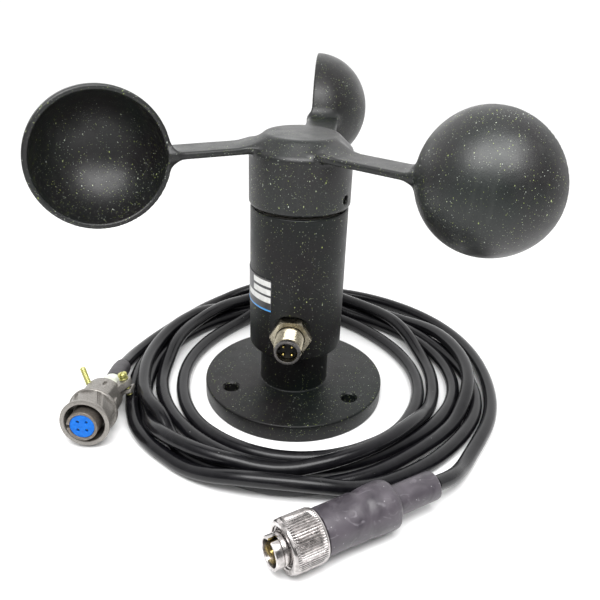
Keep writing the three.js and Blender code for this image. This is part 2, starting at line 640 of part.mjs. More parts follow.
// ---------------------------------------------------------------------------------------------
// Front connector: made along +Z, with Z = 0 at its barrel's tip
// ---------------------------------------------------------------------------------------------
function connector() {
  const ringFront = -4.6;
  const ringRear = -17.8;
  const ringRadius = 9.25;
  const gripFront = ringRear - PART_GAP;
  const gripRear = -48.5;
  const sleeveFront = gripRear - PART_GAP;
  const sleeveRear = -67;
  const collar = turned([
    [6.1, ringRear], [ringRadius - 0.5, ringRear], [ringRadius, ringRear + 0.5], [ringRadius, ringFront - 0.5],
    [ringRadius - 0.5, ringFront], [7.1, ringFront], [7.1, ringFront - 8], [6.1, ringFront - 8],
  ], ROUND_MEDIUM);
  const keyway = box([-1, 4, -3], [1, 7, 1]);
  const barrel = cut(ring(4.7, 5.7, ringRear + 0.2, 0, ROUND_SMALL), keyway);
  const pins = pinPlaces.map((place) => disc(PIN_RADIUS, -10, -1.5, ROUND_PIN).translate(...place, 0));
  const insert = join(disc(4.4, ringRear + 1, -6.5, ROUND_SMALL), ...pins);
  const grip = turned([
    [0, gripRear], [6.6, gripRear], [8.6, -47.3], [9.2, -44], [9.2, -40], [8.8, -35], [8.3, -28], [8.2, gripFront],
    [0, gripFront],
  ], ROUND_SMALL);
  const sleeve = turned([
    [0, sleeveRear], [4.9, sleeveRear], [5.3, sleeveRear + 0.6], [5.3, sleeveFront], [0, sleeveFront],
  ], ROUND_SMALL);
  const group = pointedGroup(CONNECTOR_TIP, CONNECTOR_AZIMUTH);
  group.add(
    piece('connector_coupling_ring', collar, nickel()),
    piece('connector_barrel', barrel, nickel()),
    piece('connector_insert', insert, blackPlastic()),
    piece('connector_grip', grip, heatShrink()),
    piece('connector_end_sleeve', sleeve, heatShrink()),
  );
  return group;
}

// ---------------------------------------------------------------------------------------------
// Cable: the turns round the base, and the free stretch from them to each plug
// ---------------------------------------------------------------------------------------------
// The coil's outer and inner edges, as [azimuth, radius] where they change.
const COIL_OUTER_EDGE = [
  [180, 71], [192, 70.6], [203, 74], [220, 77.4], [240, 79], [253, 79.2], [270, 77.4], [300, 77.6], [318, 80.4],
  [328, 82], [337, 89],
  [352, 92.5], [12, 95], [35, 97.5], [60, 100], [90, 101], [110, 98], [125, 91], [138, 85], [149, 82.2], [155.5, 75],
  [166, 72.5],
];
const COIL_INNER_EDGE = [
  [180, 47.6], [210, 46.6], [240, 48.6], [270, 50.8], [300, 51], [330, 52], [355, 53], [15, 56], [35, 58], [60, 57],
  [90, 60], [115, 66], [134, 63], [151, 56], [167, 51],
];

function closedEdge(places) {
  const points = places.map(([azimuth, radius]) => polar(radius, azimuth));
  const curve = new THREE.CatmullRomCurve3(points, true);
  return curve.getPoints(3 * places.length).slice(0, -1).map((point) => new THREE.Vector2(point.x, point.y));
}

function cableCoil() {
  const outline = new THREE.Shape(closedEdge(COIL_OUTER_EDGE));
  outline.holes.push(new THREE.Path(closedEdge(COIL_INNER_EDGE)));
  const body = new THREE.ExtrudeGeometry(outline, { depth: COIL_HEIGHT, bevelEnabled: false });
  return piece('cable_coil', body, cableJacket());
}

// The route of each free stretch, from the plug's end to the coil.
const LEFT_SLEEVE_ROUTE = [[-80.22, -9.9, 7.3], [-80.1, -3, 6.9], [-79.6, 4.6, 6.3]];
const LEFT_TAIL_ROUTE = [[-79.5, 5.2, 6.2], [-78.9, 12, 4.8], [-77.6, 20, 3.5], [-75, 27, 3.1], [-72.4, 32.6, 3.05]];
const FRONT_TAIL_ROUTE = [
  [52.7, -72.6, 9.2], [57.3, -69.3, 8.4], [62.2, -63.9, 6.2], [66.6, -56.6, 4], [71.4, -47.2, 3.05],
];

function cableTails() {
  const sleeve = rod(smooth(LEFT_SLEEVE_ROUTE), 4.1, 12, 4);
  const leftTail = rod(smooth(LEFT_TAIL_ROUTE), CABLE_RADIUS, 12, 6);
  const frontTail = rod(smooth(FRONT_TAIL_ROUTE), CABLE_RADIUS, 12, 6);
  return [
    piece('plug_strain_sleeve', sleeve, rubber()),
    piece('cable_tail_left', leftTail, cableJacket()),
    piece('cable_tail_front', frontTail, cableJacket()),
  ];
}

// ---------------------------------------------------------------------------------------------
// Assembly
// ---------------------------------------------------------------------------------------------
const stator = new THREE.Group();
stator.add(
  baseFlange(),
  ...BASE_SCREW_AZIMUTHS.map((azimuth, index) => baseScrew(index + 1, azimuth)),
  sensorHousing(),
  labelPlate(),
  bearingCarrier(),
  carrierSeal(),
  shaftSeal(),
  circuitBoard(),
  ...POST_AZIMUTHS.map((azimuth, index) => boardPost(index + 1, azimuth)),
  ...POST_AZIMUTHS.map((azimuth, index) => boardScrew(index + 1, azimuth)),
  lightSensor(),
  signalLoom(),
  receptacle(),
);

const rotor = new THREE.Group();
rotor.add(
  rotorHub(),
  ...CUP_AZIMUTHS.map((azimuth, index) => cup(index + 1, azimuth)),
  hubSetScrew(),
  shaft(),
  bearingSpacer(),
  shaftCirclip(),
  codeDisc(),
  codeDiscScrew(),
);

const bearings = new THREE.Group();
bearings.add(...bearing('lower', LOWER_BEARING_BOTTOM), ...bearing('upper', UPPER_BEARING_BOTTOM));

const cable = new THREE.Group();
cable.add(cableCoil(), ...cableTails(), plug(), connector());

const anemometer = new THREE.Group();
anemometer.add(stator, rotor, bearings, cable);

export default anemometer;
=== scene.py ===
# Cup anemometer with its signal cable: the looks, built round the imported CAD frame.
# Lengths are millimetres in the CAD's own frame and become metres when a mesh is made.
import math
from math import cos, pi, radians, sin

import bmesh
import bpy
import numpy as np
from mathutils import Matrix, Vector, noise


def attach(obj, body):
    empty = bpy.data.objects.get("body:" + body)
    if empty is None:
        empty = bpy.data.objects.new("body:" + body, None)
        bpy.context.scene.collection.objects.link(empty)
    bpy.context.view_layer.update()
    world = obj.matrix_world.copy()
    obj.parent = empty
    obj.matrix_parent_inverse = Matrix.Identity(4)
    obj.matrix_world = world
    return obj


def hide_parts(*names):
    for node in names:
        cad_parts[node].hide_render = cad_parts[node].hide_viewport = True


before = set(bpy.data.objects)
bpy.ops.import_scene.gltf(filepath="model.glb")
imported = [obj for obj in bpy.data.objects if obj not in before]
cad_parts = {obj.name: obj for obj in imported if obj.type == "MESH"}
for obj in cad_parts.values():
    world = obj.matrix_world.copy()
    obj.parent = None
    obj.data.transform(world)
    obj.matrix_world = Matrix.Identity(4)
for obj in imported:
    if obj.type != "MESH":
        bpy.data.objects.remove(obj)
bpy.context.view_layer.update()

MM = 0.001
scene = bpy.context.scene


def add(name, data):
    made = bpy.data.objects.new(name, data)
    scene.collection.objects.link(made)
    return made


# ---- Camera ----
CAMERA_PLACE = Vector((0, -0.26099, 0.17609))
CAMERA_LENS = 40.18
CAMERA_YAW = radians(0.36)
CAMERA_DOWN = radians(26.51)
CAMERA_ROLL = radians(-2.13)


def make_camera():
    along_floor = cos(CAMERA_DOWN)
    ahead = Vector((sin(CAMERA_YAW) * along_floor, cos(CAMERA_YAW) * along_floor, -sin(CAMERA_DOWN)))
    level = Vector((cos(CAMERA_YAW), -sin(CAMERA_YAW), 0))
    upright = level.cross(ahead)
    side = cos(CAMERA_ROLL) * level - sin(CAMERA_ROLL) * upright
    top = sin(CAMERA_ROLL) * level + cos(CAMERA_ROLL) * upright
    data = bpy.data.cameras.new("camera")
    data.lens = CAMERA_LENS
    data.sensor_width = 36
    data.clip_start = 0.005
    camera = add("camera", data)
    axes = Matrix((side, top, -ahead)).transposed().to_4x4()
    camera.matrix_world = Matrix.Translation(CAMERA_PLACE) @ axes
    scene.camera = camera


make_camera()


# ---- Materials ----
class Look:
    """A material whose colour, roughness and relief come from nodes in the object's own space."""

    def __init__(self, name, metallic=0.0, **sockets):
        self.material = bpy.data.materials.new(name)
        self.material.use_nodes = True
        self.tree = self.material.node_tree
        self.shader = self.tree.nodes["Principled BSDF"]
        self.shader.inputs["Metallic"].default_value = metallic
        for socket, value in sockets.items():
            self.shader.inputs[socket.replace("_", " ")].default_value = value
        self.place = self.tree.nodes.new("ShaderNodeTexCoord").outputs["Object"]
        self.heights = []

    def put(self, source, socket):
        if hasattr(source, "is_output"):
            self.tree.links.new(source, socket)
        elif isinstance(source, (tuple, list)):
            socket.default_value = (*source, 1) if len(source) == 3 else source
        else:
            socket.default_value = source

    def stretched(self, stretch):
        if stretch is None:
            return self.place
        node = self.tree.nodes.new("ShaderNodeMapping")
        node.inputs["Scale"].default_value = stretch
        self.tree.links.new(self.place, node.inputs["Vector"])
        return node.outputs["Vector"]

    def noise(self, size, detail=3.0, stretch=None, distortion=0.0):
        """Soft noise whose features are about size millimetres across."""
        node = self.tree.nodes.new("ShaderNodeTexNoise")
        node.inputs["Scale"].default_value = 1 / (size * MM)
        node.inputs["Detail"].default_value = detail
        node.inputs["Distortion"].default_value = distortion
        self.tree.links.new(self.stretched(stretch), node.inputs["Vector"])
        return node.outputs["Fac"]

    def cells(self, size, stretch=None):
        """The distance to, and a random colour for, the nearest of points about size millimetres apart."""
        node = self.tree.nodes.new("ShaderNodeTexVoronoi")
        node.inputs["Scale"].default_value = 1 / (size * MM)
        self.tree.links.new(self.stretched(stretch), node.inputs["Vector"])
        return node.outputs["Distance"], node.outputs["Color"]

    def span(self, value, low, high, to_low=0.0, to_high=1.0):
        node = self.tree.nodes.new("ShaderNodeMapRange")
        self.put(value, node.inputs["Value"])
        for socket, number in zip(("From Min", "From Max", "To Min", "To Max"), (low, high, to_low, to_high)):
            self.put(number, node.inputs[socket])
        return node.outputs["Result"]

    def uneven(self, size, low, high):
        """A value that wanders between low and high over about size millimetres."""
        return self.span(self.noise(size), 0.3, 0.7, low, high)

    def math(self, operation, first, second=0.0):
        node = self.tree.nodes.new("ShaderNodeMath")
        node.operation = operation
        self.put(first, node.inputs[0])
        self.put(second, node.inputs[1])
        return node.outputs[0]

    def blend(self, factor, first, second):
        node = self.tree.nodes.new("ShaderNodeMix")
        node.data_type = "RGBA"
        self.put(factor, node.inputs["Factor"])
        self.put(first, node.inputs["A"])
        self.put(second, node.inputs["B"])
        return node.outputs["Result"]

    def part(self, vector, axis):
        node = self.tree.nodes.new("ShaderNodeSeparateXYZ")
        self.tree.links.new(vector, node.inputs[0])
        return node.outputs[axis]

    def edges(self):
        """1 on outward edges, 0 elsewhere."""
        node = self.tree.nodes.new("ShaderNodeNewGeometry")
        return self.span(node.outputs["Pointiness"], 0.52, 0.6)

    def relief(self, height, depth):
        """Adds a height field, depth millimetres from its lowest to its highest."""
        self.heights.append((height, depth))

    def done(self, color, roughness):
        self.put(color, self.shader.inputs["Base Color"])
        self.put(roughness, self.shader.inputs["Roughness"])
        normal = None
        for height, depth in self.heights:
            node = self.tree.nodes.new("ShaderNodeBump")
            node.inputs["Strength"].default_value = 1.0
            node.inputs["Distance"].default_value = depth * MM
            self.tree.links.new(height, node.inputs["Height"])
            if normal:
                self.tree.links.new(normal, node.inputs["Normal"])
            normal = node.outputs["Normal"]
        if normal:
            self.tree.links.new(normal, self.shader.inputs["Normal"])
        return self.material


def powder_coat(name, dust, film=0.0, gloss=0.42):
    """Near-black satin powder coat with a fine orange-peel skin and specks of pale, yellow-green dust."""
    look = Look(name, Specular_IOR_Level=gloss)
    patches = look.span(look.noise(26, 3), 0.38, 0.64)
    base = look.blend(patches, (0.0048, 0.0040, 0.0045), (0.0034, 0.0054, 0.0048))
    grain = look.noise(0.5, 2)
    base = look.blend(look.span(grain, 0.5, 0.8, 0, 0.4), base, (0.016, 0.017, 0.016))
    # The film amount lays a pale streaky haze over the paint: partly real streaks in the coat, partly painted
    # sheen that makes the rotor lighter.
    if film:
        pale_streaks_and_sheen = look.span(look.noise(2.6, 4, (1, 1, 0.08)), 0.56, 0.84, 0, film)
        base = look.blend(pale_streaks_and_sheen, base, (0.060, 0.066, 0.058))
    crowd = look.span(look.noise(16, 2), 0.40, 0.60, 0.3, 1)
    for size, low, high, amount, stretch in (
            (2.4, 0.05, 0.09, 1.0, (1, 1, 0.5)), (1.1, 0.08, 0.14, 0.9, None), (0.75, 0.09, 0.15, 0.6, None)):
        distance, tint = look.cells(size, stretch)
        chosen = look.span(look.part(tint, 1), 0.76 - 0.6 * dust, 0.78 - 0.6 * dust, 0, amount)
        dot = look.span(distance, low, high, 1, 0)
        speck = look.math("MULTIPLY", dot, look.math("MULTIPLY", chosen, crowd))
        greenness = look.span(look.part(tint, 0), 0.3, 0.9)
        speck_color = look.blend(greenness, (0.46, 0.50, 0.44), (0.46, 0.56, 0.14))
        base = look.blend(speck, base, speck_color)
    look.relief(grain, 0.035)
    look.relief(look.noise(3.5, 1), 0.04)
    return look.done(base, look.uneven(6, 0.36, 0.46))


def worn_metal(name, dark, light, rough, grain_size=0.8, metallic=0.85):
    """Plated or turned metal: mottled, brighter on its edges, with fine marks."""
    look = Look(name, metallic=metallic)
    marks = look.noise(grain_size, 5)
    base = look.blend(look.span(marks, 0.35, 0.7), dark, light)
    base = look.blend(look.span(look.edges(), 0, 1, 0, 0.6), base, tuple(min(1, c * 1.35) for c in light))
    look.relief(marks, 0.01)
    return look.done(base, look.uneven(grain_size * 4, rough - 0.07, rough + 0.09))


def moulded(name, dark, light, rough, grain_size=1.5, depth=0.02, **sockets):
    """Moulded plastic or rubber: faint mottling and a fine skin."""
    look = Look(name, **sockets)
    marks = look.noise(grain_size, 4)
    base = look.blend(look.span(marks, 0.3, 0.7), dark, light)
    look.relief(marks, depth)
    return look.done(base, look.uneven(grain_size * 5, rough - 0.06, rough + 0.08))


def shrink_sleeve():
    """Heat-shrink tube: purple grey, with long wrinkles, pale scuffs and lint."""
    look = Look("heat_shrink")
    wrinkles = look.noise(5.5, 4, (1.0, 0.45, 1.0), 1.2)
    cloud = look.span(look.noise(9, 5, None, 0.8), 0.36, 0.7)
    base = look.blend(cloud, (0.030, 0.025, 0.032), (0.070, 0.060, 0.072))
    scuff = look.span(look.noise(3.2, 6, (0.5, 1, 1), 1.5), 0.6, 0.74, 0, 0.45)
    base = look.blend(scuff, base, (0.20, 0.185, 0.205))
    distance, _ = look.cells(2.6)
    base = look.blend(look.span(distance, 0.04, 0.07, 0.8, 0), base, (0.5, 0.48, 0.5))
    look.relief(wrinkles, 0.3)
    look.relief(look.noise(1.0, 3), 0.03)
    return look.done(base, look.span(cloud, 0, 1, 0.36, 0.52))


def jacket():
    """Satin black cable jacket with faint handling marks."""
    look = Look("cable_jacket", Specular_IOR_Level=0.3)
    marks = look.noise(2.5, 5)
    base = look.blend(look.span(marks, 0.35, 0.75), (0.0028, 0.0028, 0.0036), (0.0070, 0.0066, 0.0082))
    distance, _ = look.cells(5)
    base = look.blend(look.span(distance, 0.02, 0.045, 0.6, 0), base, (0.30, 0.30, 0.30))
    look.relief(look.noise(0.8, 3), 0.015)
    return look.done(base, look.uneven(14, 0.20, 0.28))


def board_green():
    """Solder mask with copper tracks that show as lighter parallel lines."""
    look = Look("circuit_board")
    across = look.math("FRACT", look.math("MULTIPLY", look.part(look.place, 0), 1 / (1.6 * MM)))
    track = look.span(across, 0.4, 0.44)
    base = look.blend(look.span(look.noise(3, 3), 0.45, 0.55), (0.010, 0.10, 0.035), (0.016, 0.15, 0.05))
    base = look.blend(look.math("MULTIPLY", track, 0.35), base, (0.05, 0.26, 0.09))
    return look.done(base, look.uneven(2, 0.3, 0.42))


LOOKS = {
    # The rotor's 0.14 film is partly painted sheen.
    "hub_paint": powder_coat("hub_paint", 0.95, 0.14, gloss=0.42),
    "black_paint": powder_coat("black_paint", 0.5, gloss=0.22),
    "steel": worn_metal("steel", (0.42, 0.43, 0.44), (0.62, 0.63, 0.64), 0.3, 1.0),
    "nickel": worn_metal("nickel", (0.26, 0.235, 0.18), (0.46, 0.42, 0.32), 0.26, 1.1, 1.0),
    "bright_nickel": worn_metal("bright_nickel", (0.28, 0.265, 0.26), (0.54, 0.51, 0.50), 0.22, 1.4, 1.0),
    "dark_nickel": worn_metal("dark_nickel", (0.05, 0.05, 0.05), (0.14, 0.13, 0.125), 0.38, 0.8),
    "grey_alloy": worn_metal("grey_alloy", (0.15, 0.140, 0.128), (0.27, 0.255, 0.235), 0.40, 0.5, 0.6),
    "warm_alloy": worn_metal("warm_alloy", (0.11, 0.094, 0.082), (0.21, 0.185, 0.16), 0.42, 0.6, 0.7),
    "zinc_yellow": worn_metal("zinc_yellow", (0.30, 0.30, 0.08), (0.52, 0.50, 0.20), 0.34, 0.7, 0.8),
    "gold_contact": worn_metal("gold_contact", (0.70, 0.46, 0.12), (0.95, 0.72, 0.28), 0.26, 0.5, 1.0),
    "brass": worn_metal("brass", (0.44, 0.32, 0.12), (0.66, 0.50, 0.22), 0.34, 0.8),
    "black_plastic": moulded("black_plastic", (0.002, 0.002, 0.002), (0.006, 0.006, 0.006), 0.5,
                             Specular_IOR_Level=0.15),
    "rubber": moulded("rubber", (0.012, 0.012, 0.013), (0.030, 0.029, 0.031), 0.62, 1.2, 0.03),
    "sleeve_rubber": moulded("sleeve_rubber", (0.030, 0.028, 0.031), (0.060, 0.056, 0.060), 0.5, 2.0, 0.03),
    "blue_insert": moulded("blue_insert", (0.001, 0.10, 0.45), (0.003, 0.145, 0.57), 0.5, 1.2,
                           Specular_IOR_Level=0.2),
    "pale_liner": moulded("pale_liner", (0.46, 0.48, 0.40), (0.66, 0.68, 0.60), 0.4, 2.4, 0.05),
    "wire": moulded("wire", (0.10, 0.10, 0.11), (0.30, 0.30, 0.32), 0.5, 0.9, 0.05),
    "label_film": moulded("label_film", (0.016, 0.017, 0.019), (0.030, 0.031, 0.034), 0.3, 3),
    "label_silver": moulded("label_silver", (0.46, 0.465, 0.45), (0.60, 0.60, 0.58), 0.35, 2.2, 0.01),
    "label_blue": moulded("label_blue", (0.03, 0.20, 0.50), (0.05, 0.28, 0.62), 0.35, 2.2, 0.01),
    "circuit_board": board_green(),
    "heat_shrink": shrink_sleeve(),
    "cable_jacket": jacket(),
}


# ---- Mesh helpers ----
def polar(radius, azimuth, height=0.0):
    return Vector((radius * cos(radians(azimuth)), radius * sin(radians(azimuth)), height))


def standing(origin):
    """A frame whose +Z stays up."""
    return Matrix.Translation(Vector(origin))


def pointed(origin, azimuth, rise=0.0):
    """A frame whose +Z points along an azimuth, rising by an angle, and whose +Y is up."""
    ahead = polar(cos(radians(rise)), azimuth, sin(radians(rise)))
    side = Vector((0, 0, 1)).cross(ahead).normalized()
    upright = ahead.cross(side)
    return Matrix.Translation(Vector(origin)) @ Matrix((side, upright, ahead)).transposed().to_4x4()


def beside(place, offset):
    """The frame moved across its own +Z by (x, y)."""
    return place @ Matrix.Translation((*offset, 0))


def solid(name, points, faces, place=Matrix(), crease=35):
    """A mesh object from millimetre points, smooth except across edges sharper than crease degrees."""
    mesh = bpy.data.meshes.new(name)
    mesh.from_pydata([place @ Vector(point) * MM for point in points], [], faces)
    made = add(name, mesh)
    tidy(made, crease)
    return made


def tidy(made, crease=35, weld=True):
    shape = bmesh.new()
    shape.from_mesh(made.data)
    if weld:
        bmesh.ops.remove_doubles(shape, verts=shape.verts, dist=0.002 * MM)
        bmesh.ops.dissolve_degenerate(shape, edges=shape.edges, dist=0.0005 * MM)
    bmesh.ops.recalc_face_normals(shape, faces=shape.faces)
    shape.to_mesh(made.data)
    shape.free()
    made.data.shade_smooth()
    made.data.set_sharp_from_angle(angle=radians(crease))
    made.data.update()


def soften(profile, radius, steps=3):
    """The profile with each corner that is off the axis rounded, as far as its neighbours leave room."""
    out = []
    count = len(profile)
    for index, here in enumerate(profile):
        before, after = Vector(profile[index - 1]), Vector(profile[(index + 1) % count])
        corner = Vector(here)
        to_before, to_after = before - corner, after - corner
        if corner.x < 1e-6 or to_before.length < 1e-6 or to_after.length < 1e-6:
            out.append(tuple(here))
            continue
        room = min(radius, 0.45 * to_before.length, 0.45 * to_after.length)
        start, end = corner + to_before.normalized() * room, corner + to_after.normalized() * room
        for step in range(steps + 1):
            t = step / steps
            point = (1 - t) ** 2 * start + 2 * t * (1 - t) * corner + t ** 2 * end
            out.append((point.x, point.y))
    return out


def turned(name, profile, place=Matrix(), segments=96, shape=None, crease=35):
    """A profile of (radius, height) turned round its frame's +Z.

    shape(radius, height, angle) may change a radius.
    """
    points = []
    for radius, height in profile:
        for step in range(segments):
            angle = 2 * pi * step / segments
            reach = shape(radius, height, angle) if shape and radius > 0 else radius
            points.append((reach * cos(angle), reach * sin(angle), height))
    faces = []
    count = len(profile)
    closed = profile[0][0] > 0 or profile[-1][0] > 0
    for row in range(count if closed else count - 1):
        below = (row + 1) % count
        for step in range(segments):
            beside = (step + 1) % segments
            faces.append((row * segments + step, row * segments + beside,
                          below * segments + beside, below * segments + step))
    return solid(name, points, faces, place, crease)


def disc_profile(radius, low, high):
    return [(0, low), (radius, low), (radius, high), (0, high)]


def ring_profile(inner, outer, low, high):
    return [(inner, low), (outer, low), (outer, high), (inner, high)]


def block(name, low, high, place=Matrix()):
    xs, ys, zs = zip(low, high)
    points = [(x, y, z) for x in xs for y in ys for z in zs]
    faces = [(0, 1, 3, 2), (4, 6, 7, 5), (0, 4, 5, 1), (2, 3, 7, 6), (0, 2, 6, 4), (1, 5, 7, 3)]
    return solid(name, points, faces, place)


def lofted(name, rings, place=Matrix()):
    """A skin over rings of equal numbers of points, closed at both ends."""
    size = len(rings[0])
    points = [point for ring in rings for point in ring]
    faces = [(row * size + step, row * size + (step + 1) % size,
              (row + 1) * size + (step + 1) % size, (row + 1) * size + step)
             for row in range(len(rings) - 1) for step in range(size)]
    faces += [tuple(range(size))[::-1], tuple((len(rings) - 1) * size + step for step in range(size))]
    return solid(name, points, faces, place)


def baked(made):
    """Applies the object's modifiers to its mesh."""
    seen = made.evaluated_get(bpy.context.evaluated_depsgraph_get())
    mesh = bpy.data.meshes.new_from_object(seen)
    made.modifiers.clear()
    old = made.data
    made.data = mesh
    bpy.data.meshes.remove(old)
    return made


def combine(made, operation, *others, crease=35):
    """Joins other solids to this one, or cuts them from it, and removes them."""
    for other in others:
        step = made.modifiers.new("step", "BOOLEAN")
        step.operation = operation
        step.solver = "EXACT"
        step.object = other
    baked(made)
    for other in others:
        bpy.data.objects.remove(other)
    tidy(made, crease)
    return made


def cut(made, *others, crease=35):
    return combine(made, "DIFFERENCE", *others, crease=crease)


def join(made, *others, crease=35):
    return combine(made, "UNION", *others, crease=crease)


def gathered(made, *others):
    """Puts other objects' faces into this one without joining the solids."""
    shape = bmesh.new()
    for each in (made, *others):
        shape.from_mesh(each.data)
    shape.to_mesh(made.data)
    shape.free()
    for other in others:
        bpy.data.objects.remove(other)
    return made


def bevel(made, width):
    step = made.modifiers.new("bevel", "BEVEL")
    step.width = width * MM
    step.segments = 2
    step.limit_method = "ANGLE"
    step.angle_limit = radians(30)
    step.harden_normals = False
    baked(made)
    tidy(made, 50)
    return made


def show(made, look, body, slot, *nodes):
    """Gives a piece its material, its body and the CAD nodes it stands for. The slot argument is not used."""
    made.data.materials.clear()
    made.data.materials.append(LOOKS[look])
    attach(made, body)
    if nodes:
        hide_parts(*nodes)
    return made


# ---- Cable route ----
CABLE_RADIUS = 3.0
FLOOR_CLEARANCE = 0.12
REST_HEIGHT = CABLE_RADIUS + FLOOR_CLEARANCE
LEFT_TAIL_ROUTE = [(-79.5, 5.2, 6.2), (-78.9, 12, 4.8), (-77.6, 20, 3.5), (-75, 27, 3.1), (-72.4, 32.6, 3.05)]
FRONT_TAIL_ROUTE = [(52.7, -72.6, 9.2), (57.3, -69.3, 8.4), (62.2, -63.9, 6.2), (66.6, -56.6, 4),
                    (71.4, -47.2, 3.05)]

# Where the turns lie, as (radius, height) at eight azimuths. The cable winds clockwise seen from above. The
# first turn lies on top at the right and in front, the second is the innermost, and the last one leaves the
# coil at its right, for the front connector.
TURN_AZIMUTHS = (90, 45, 0, -45, -90, -135, -180, -225)
TURNS = [
    [(88, 11), (74, 14), (64.5, 10), (60.6, 9), (64.2, 8.6), (69, 6), (67.5, 3), (70, 3)],
    [(73, 3), (62, 3), (57.5, 3), (55.5, 3), (54, 3), (51.5, 3), (50.8, 3), (58, 3)],
    [(74, 8.5), (76.5, 9), (74, 9), (61.5, 4), (59.6, 3), (57.5, 3), (60.5, 8), (69, 13)],
    [(84, 12), (86, 8), (80.5, 7), (68.5, 3), (70.4, 3), (67, 6), (68, 9.5), (75, 9)],
    [(82, 3), (80, 3), (83, 3), (76.5, 8.5), (73.2, 9), (73.2, 4.5), (72, 3), (76, 3)],
    [(97, 3), (99, 3), (90.4, 3)],
]
# How the cable comes to the first turn and leaves the last, as (azimuth, radius, height).
RUN_IN = [(150, 79, 3), (135, 83, 3), (110, 94, 4)]
RUN_OUT = (-26, 86.8, 3)
FULL_TURN = 360
# The plan's points are this far apart, in millimetres and in degrees, and the curve's points in millimetres.
PLAN_SPACING, PLAN_STEP, CURVE_SPACING = 4.5, 3.4, 11.0


def eased(places, values, wanted):
    """The values read along a smooth line through them."""
    slopes = np.gradient(values, places)
    span = np.clip(np.searchsorted(places, wanted, side="right") - 1, 0, len(places) - 2)
    width = places[span + 1] - places[span]
    t = (wanted - places[span]) / width
    return ((1 + 2 * t) * (1 - t) ** 2 * values[span] + t * (1 - t) ** 2 * width * slopes[span]
            + t * t * (3 - 2 * t) * values[span + 1] + t * t * (t - 1) * width * slopes[span + 1])


def planned_route():
    """The plan as a row of points, from the left plug's sleeve to the front connector's."""
    plan = list(RUN_IN)
    for turn, places in enumerate(TURNS):
        plan += [(azimuth - FULL_TURN * turn, *place) for azimuth, place in zip(TURN_AZIMUTHS, places)]
    last_azimuth, last_radius, last_height = RUN_OUT
    plan.append((last_azimuth - FULL_TURN * (len(TURNS) - 1), last_radius, last_height))
    azimuths, radii, heights = (np.array(column, dtype=float) for column in zip(*plan))
    steps = np.arange(azimuths[0], azimuths[-1], -PLAN_STEP)
    radius = eased(-azimuths, radii, -steps)
    height = np.maximum(eased(-azimuths, heights, -steps), REST_HEIGHT)
    turns = np.stack([radius * np.cos(np.radians(steps)), radius * np.sin(np.radians(steps)), height], axis=1)
    start = np.array(LEFT_TAIL_ROUTE)
    end = np.array(FRONT_TAIL_ROUTE)[::-1]
    return np.concatenate([resampled(start, PLAN_SPACING), turns, resampled(end, PLAN_SPACING)])


def resampled(points, spacing):
    lengths = np.concatenate([[0], np.cumsum(np.linalg.norm(np.diff(points, axis=0), axis=1))])
    places = np.linspace(0, lengths[-1], max(2, round(lengths[-1] / spacing) + 1))
    return np.stack([np.interp(places, lengths, points[:, axis]) for axis in range(3)], axis=1)


def settled(route, rounds=260, last_rounds=80, apart=6.15, neighbours=9):
    """Lets the cable sink to the floor and onto itself, kept smooth, a diameter apart and near its plan."""
    plan = route.copy()
    held = 4
    index = np.arange(len(route))
    strangers = np.abs(index[:, None] - index[None, :]) > neighbours
    mostly_up = np.array((0.45, 0.45, 1.3))
    pull, sink, last_sink, yielding, stiffness = 0.08, 0.15, 0.04, 0.3, 0.05
    for turn in range(rounds):
        route[:, :2] += pull * (plan[:, :2] - route[:, :2])
        route[:, 2] -= sink if turn < rounds - last_rounds else last_sink
        for _ in range(3):
            gap = route[:, None, :] - route[None, :, :]
            distance = np.linalg.norm(gap, axis=2) + 1e-9
            close = strangers & (distance < apart)
            push = np.where(close, (apart - distance) / distance * yielding, 0)
            route += (gap * push[:, :, None]).sum(axis=1) * mostly_up
            route[:, 2] = np.maximum(route[:, 2], REST_HEIGHT)
        for _ in range(5):
            bend = route[:-4] - 4 * route[1:-3] + 6 * route[2:-2] - 4 * route[3:-1] + route[4:]
            route[2:-2] -= stiffness * bend
        route[:, 2] = np.maximum(route[:, 2], REST_HEIGHT)
        route[:held] = plan[:held]
        route[-held:] = plan[-held:]
    return route


def cable_curve():
    route = resampled(settled(planned_route()), CURVE_SPACING)
    data = bpy.data.curves.new("signal_cable", "CURVE")
    data.dimensions = "3D"
    data.bevel_depth = CABLE_RADIUS * MM
    data.bevel_resolution = 5
    data.resolution_u = 4
    data.use_fill_caps = True
    spline = data.splines.new("BEZIER")
    spline.bezier_points.add(len(route) - 1)
    for bezier, point in zip(spline.bezier_points, route):
        bezier.co = Vector(point) * MM
        bezier.handle_left_type = bezier.handle_right_type = "AUTO"
    return add("signal_cable", data)


cable = cable_curve()
show(cable, "cable_jacket", "stator", "cable_jacket", "cable_coil", "cable_tail_left", "cable_tail_front")


# ---- Flange, housing and label ----
FLANGE_RADIUS, FLANGE_HEIGHT, NECK_RADIUS = 40.0, 8.0, 15.0
HOUSING_RADIUS, HOUSING_BOTTOM, HOUSING_TOP = 20.0, 27.3, 89.4
MOUNT_HOLE_AZIMUTHS = (-36, -156, 84)
MOUNT_HOLE_RADIUS, MOUNT_CIRCLE_RADIUS = 3.25, 30.0
BASE_SCREW_AZIMUTHS = (30, 150, -90)
BASE_SCREW_CIRCLE = 9.0
RECEPTACLE_AZIMUTH, RECEPTACLE_HEIGHT, PORT_RADIUS = -95.0, 39.0, 6.1
RECEPTACLE = pointed((0, 0, RECEPTACLE_HEIGHT), RECEPTACLE_AZIMUTH)


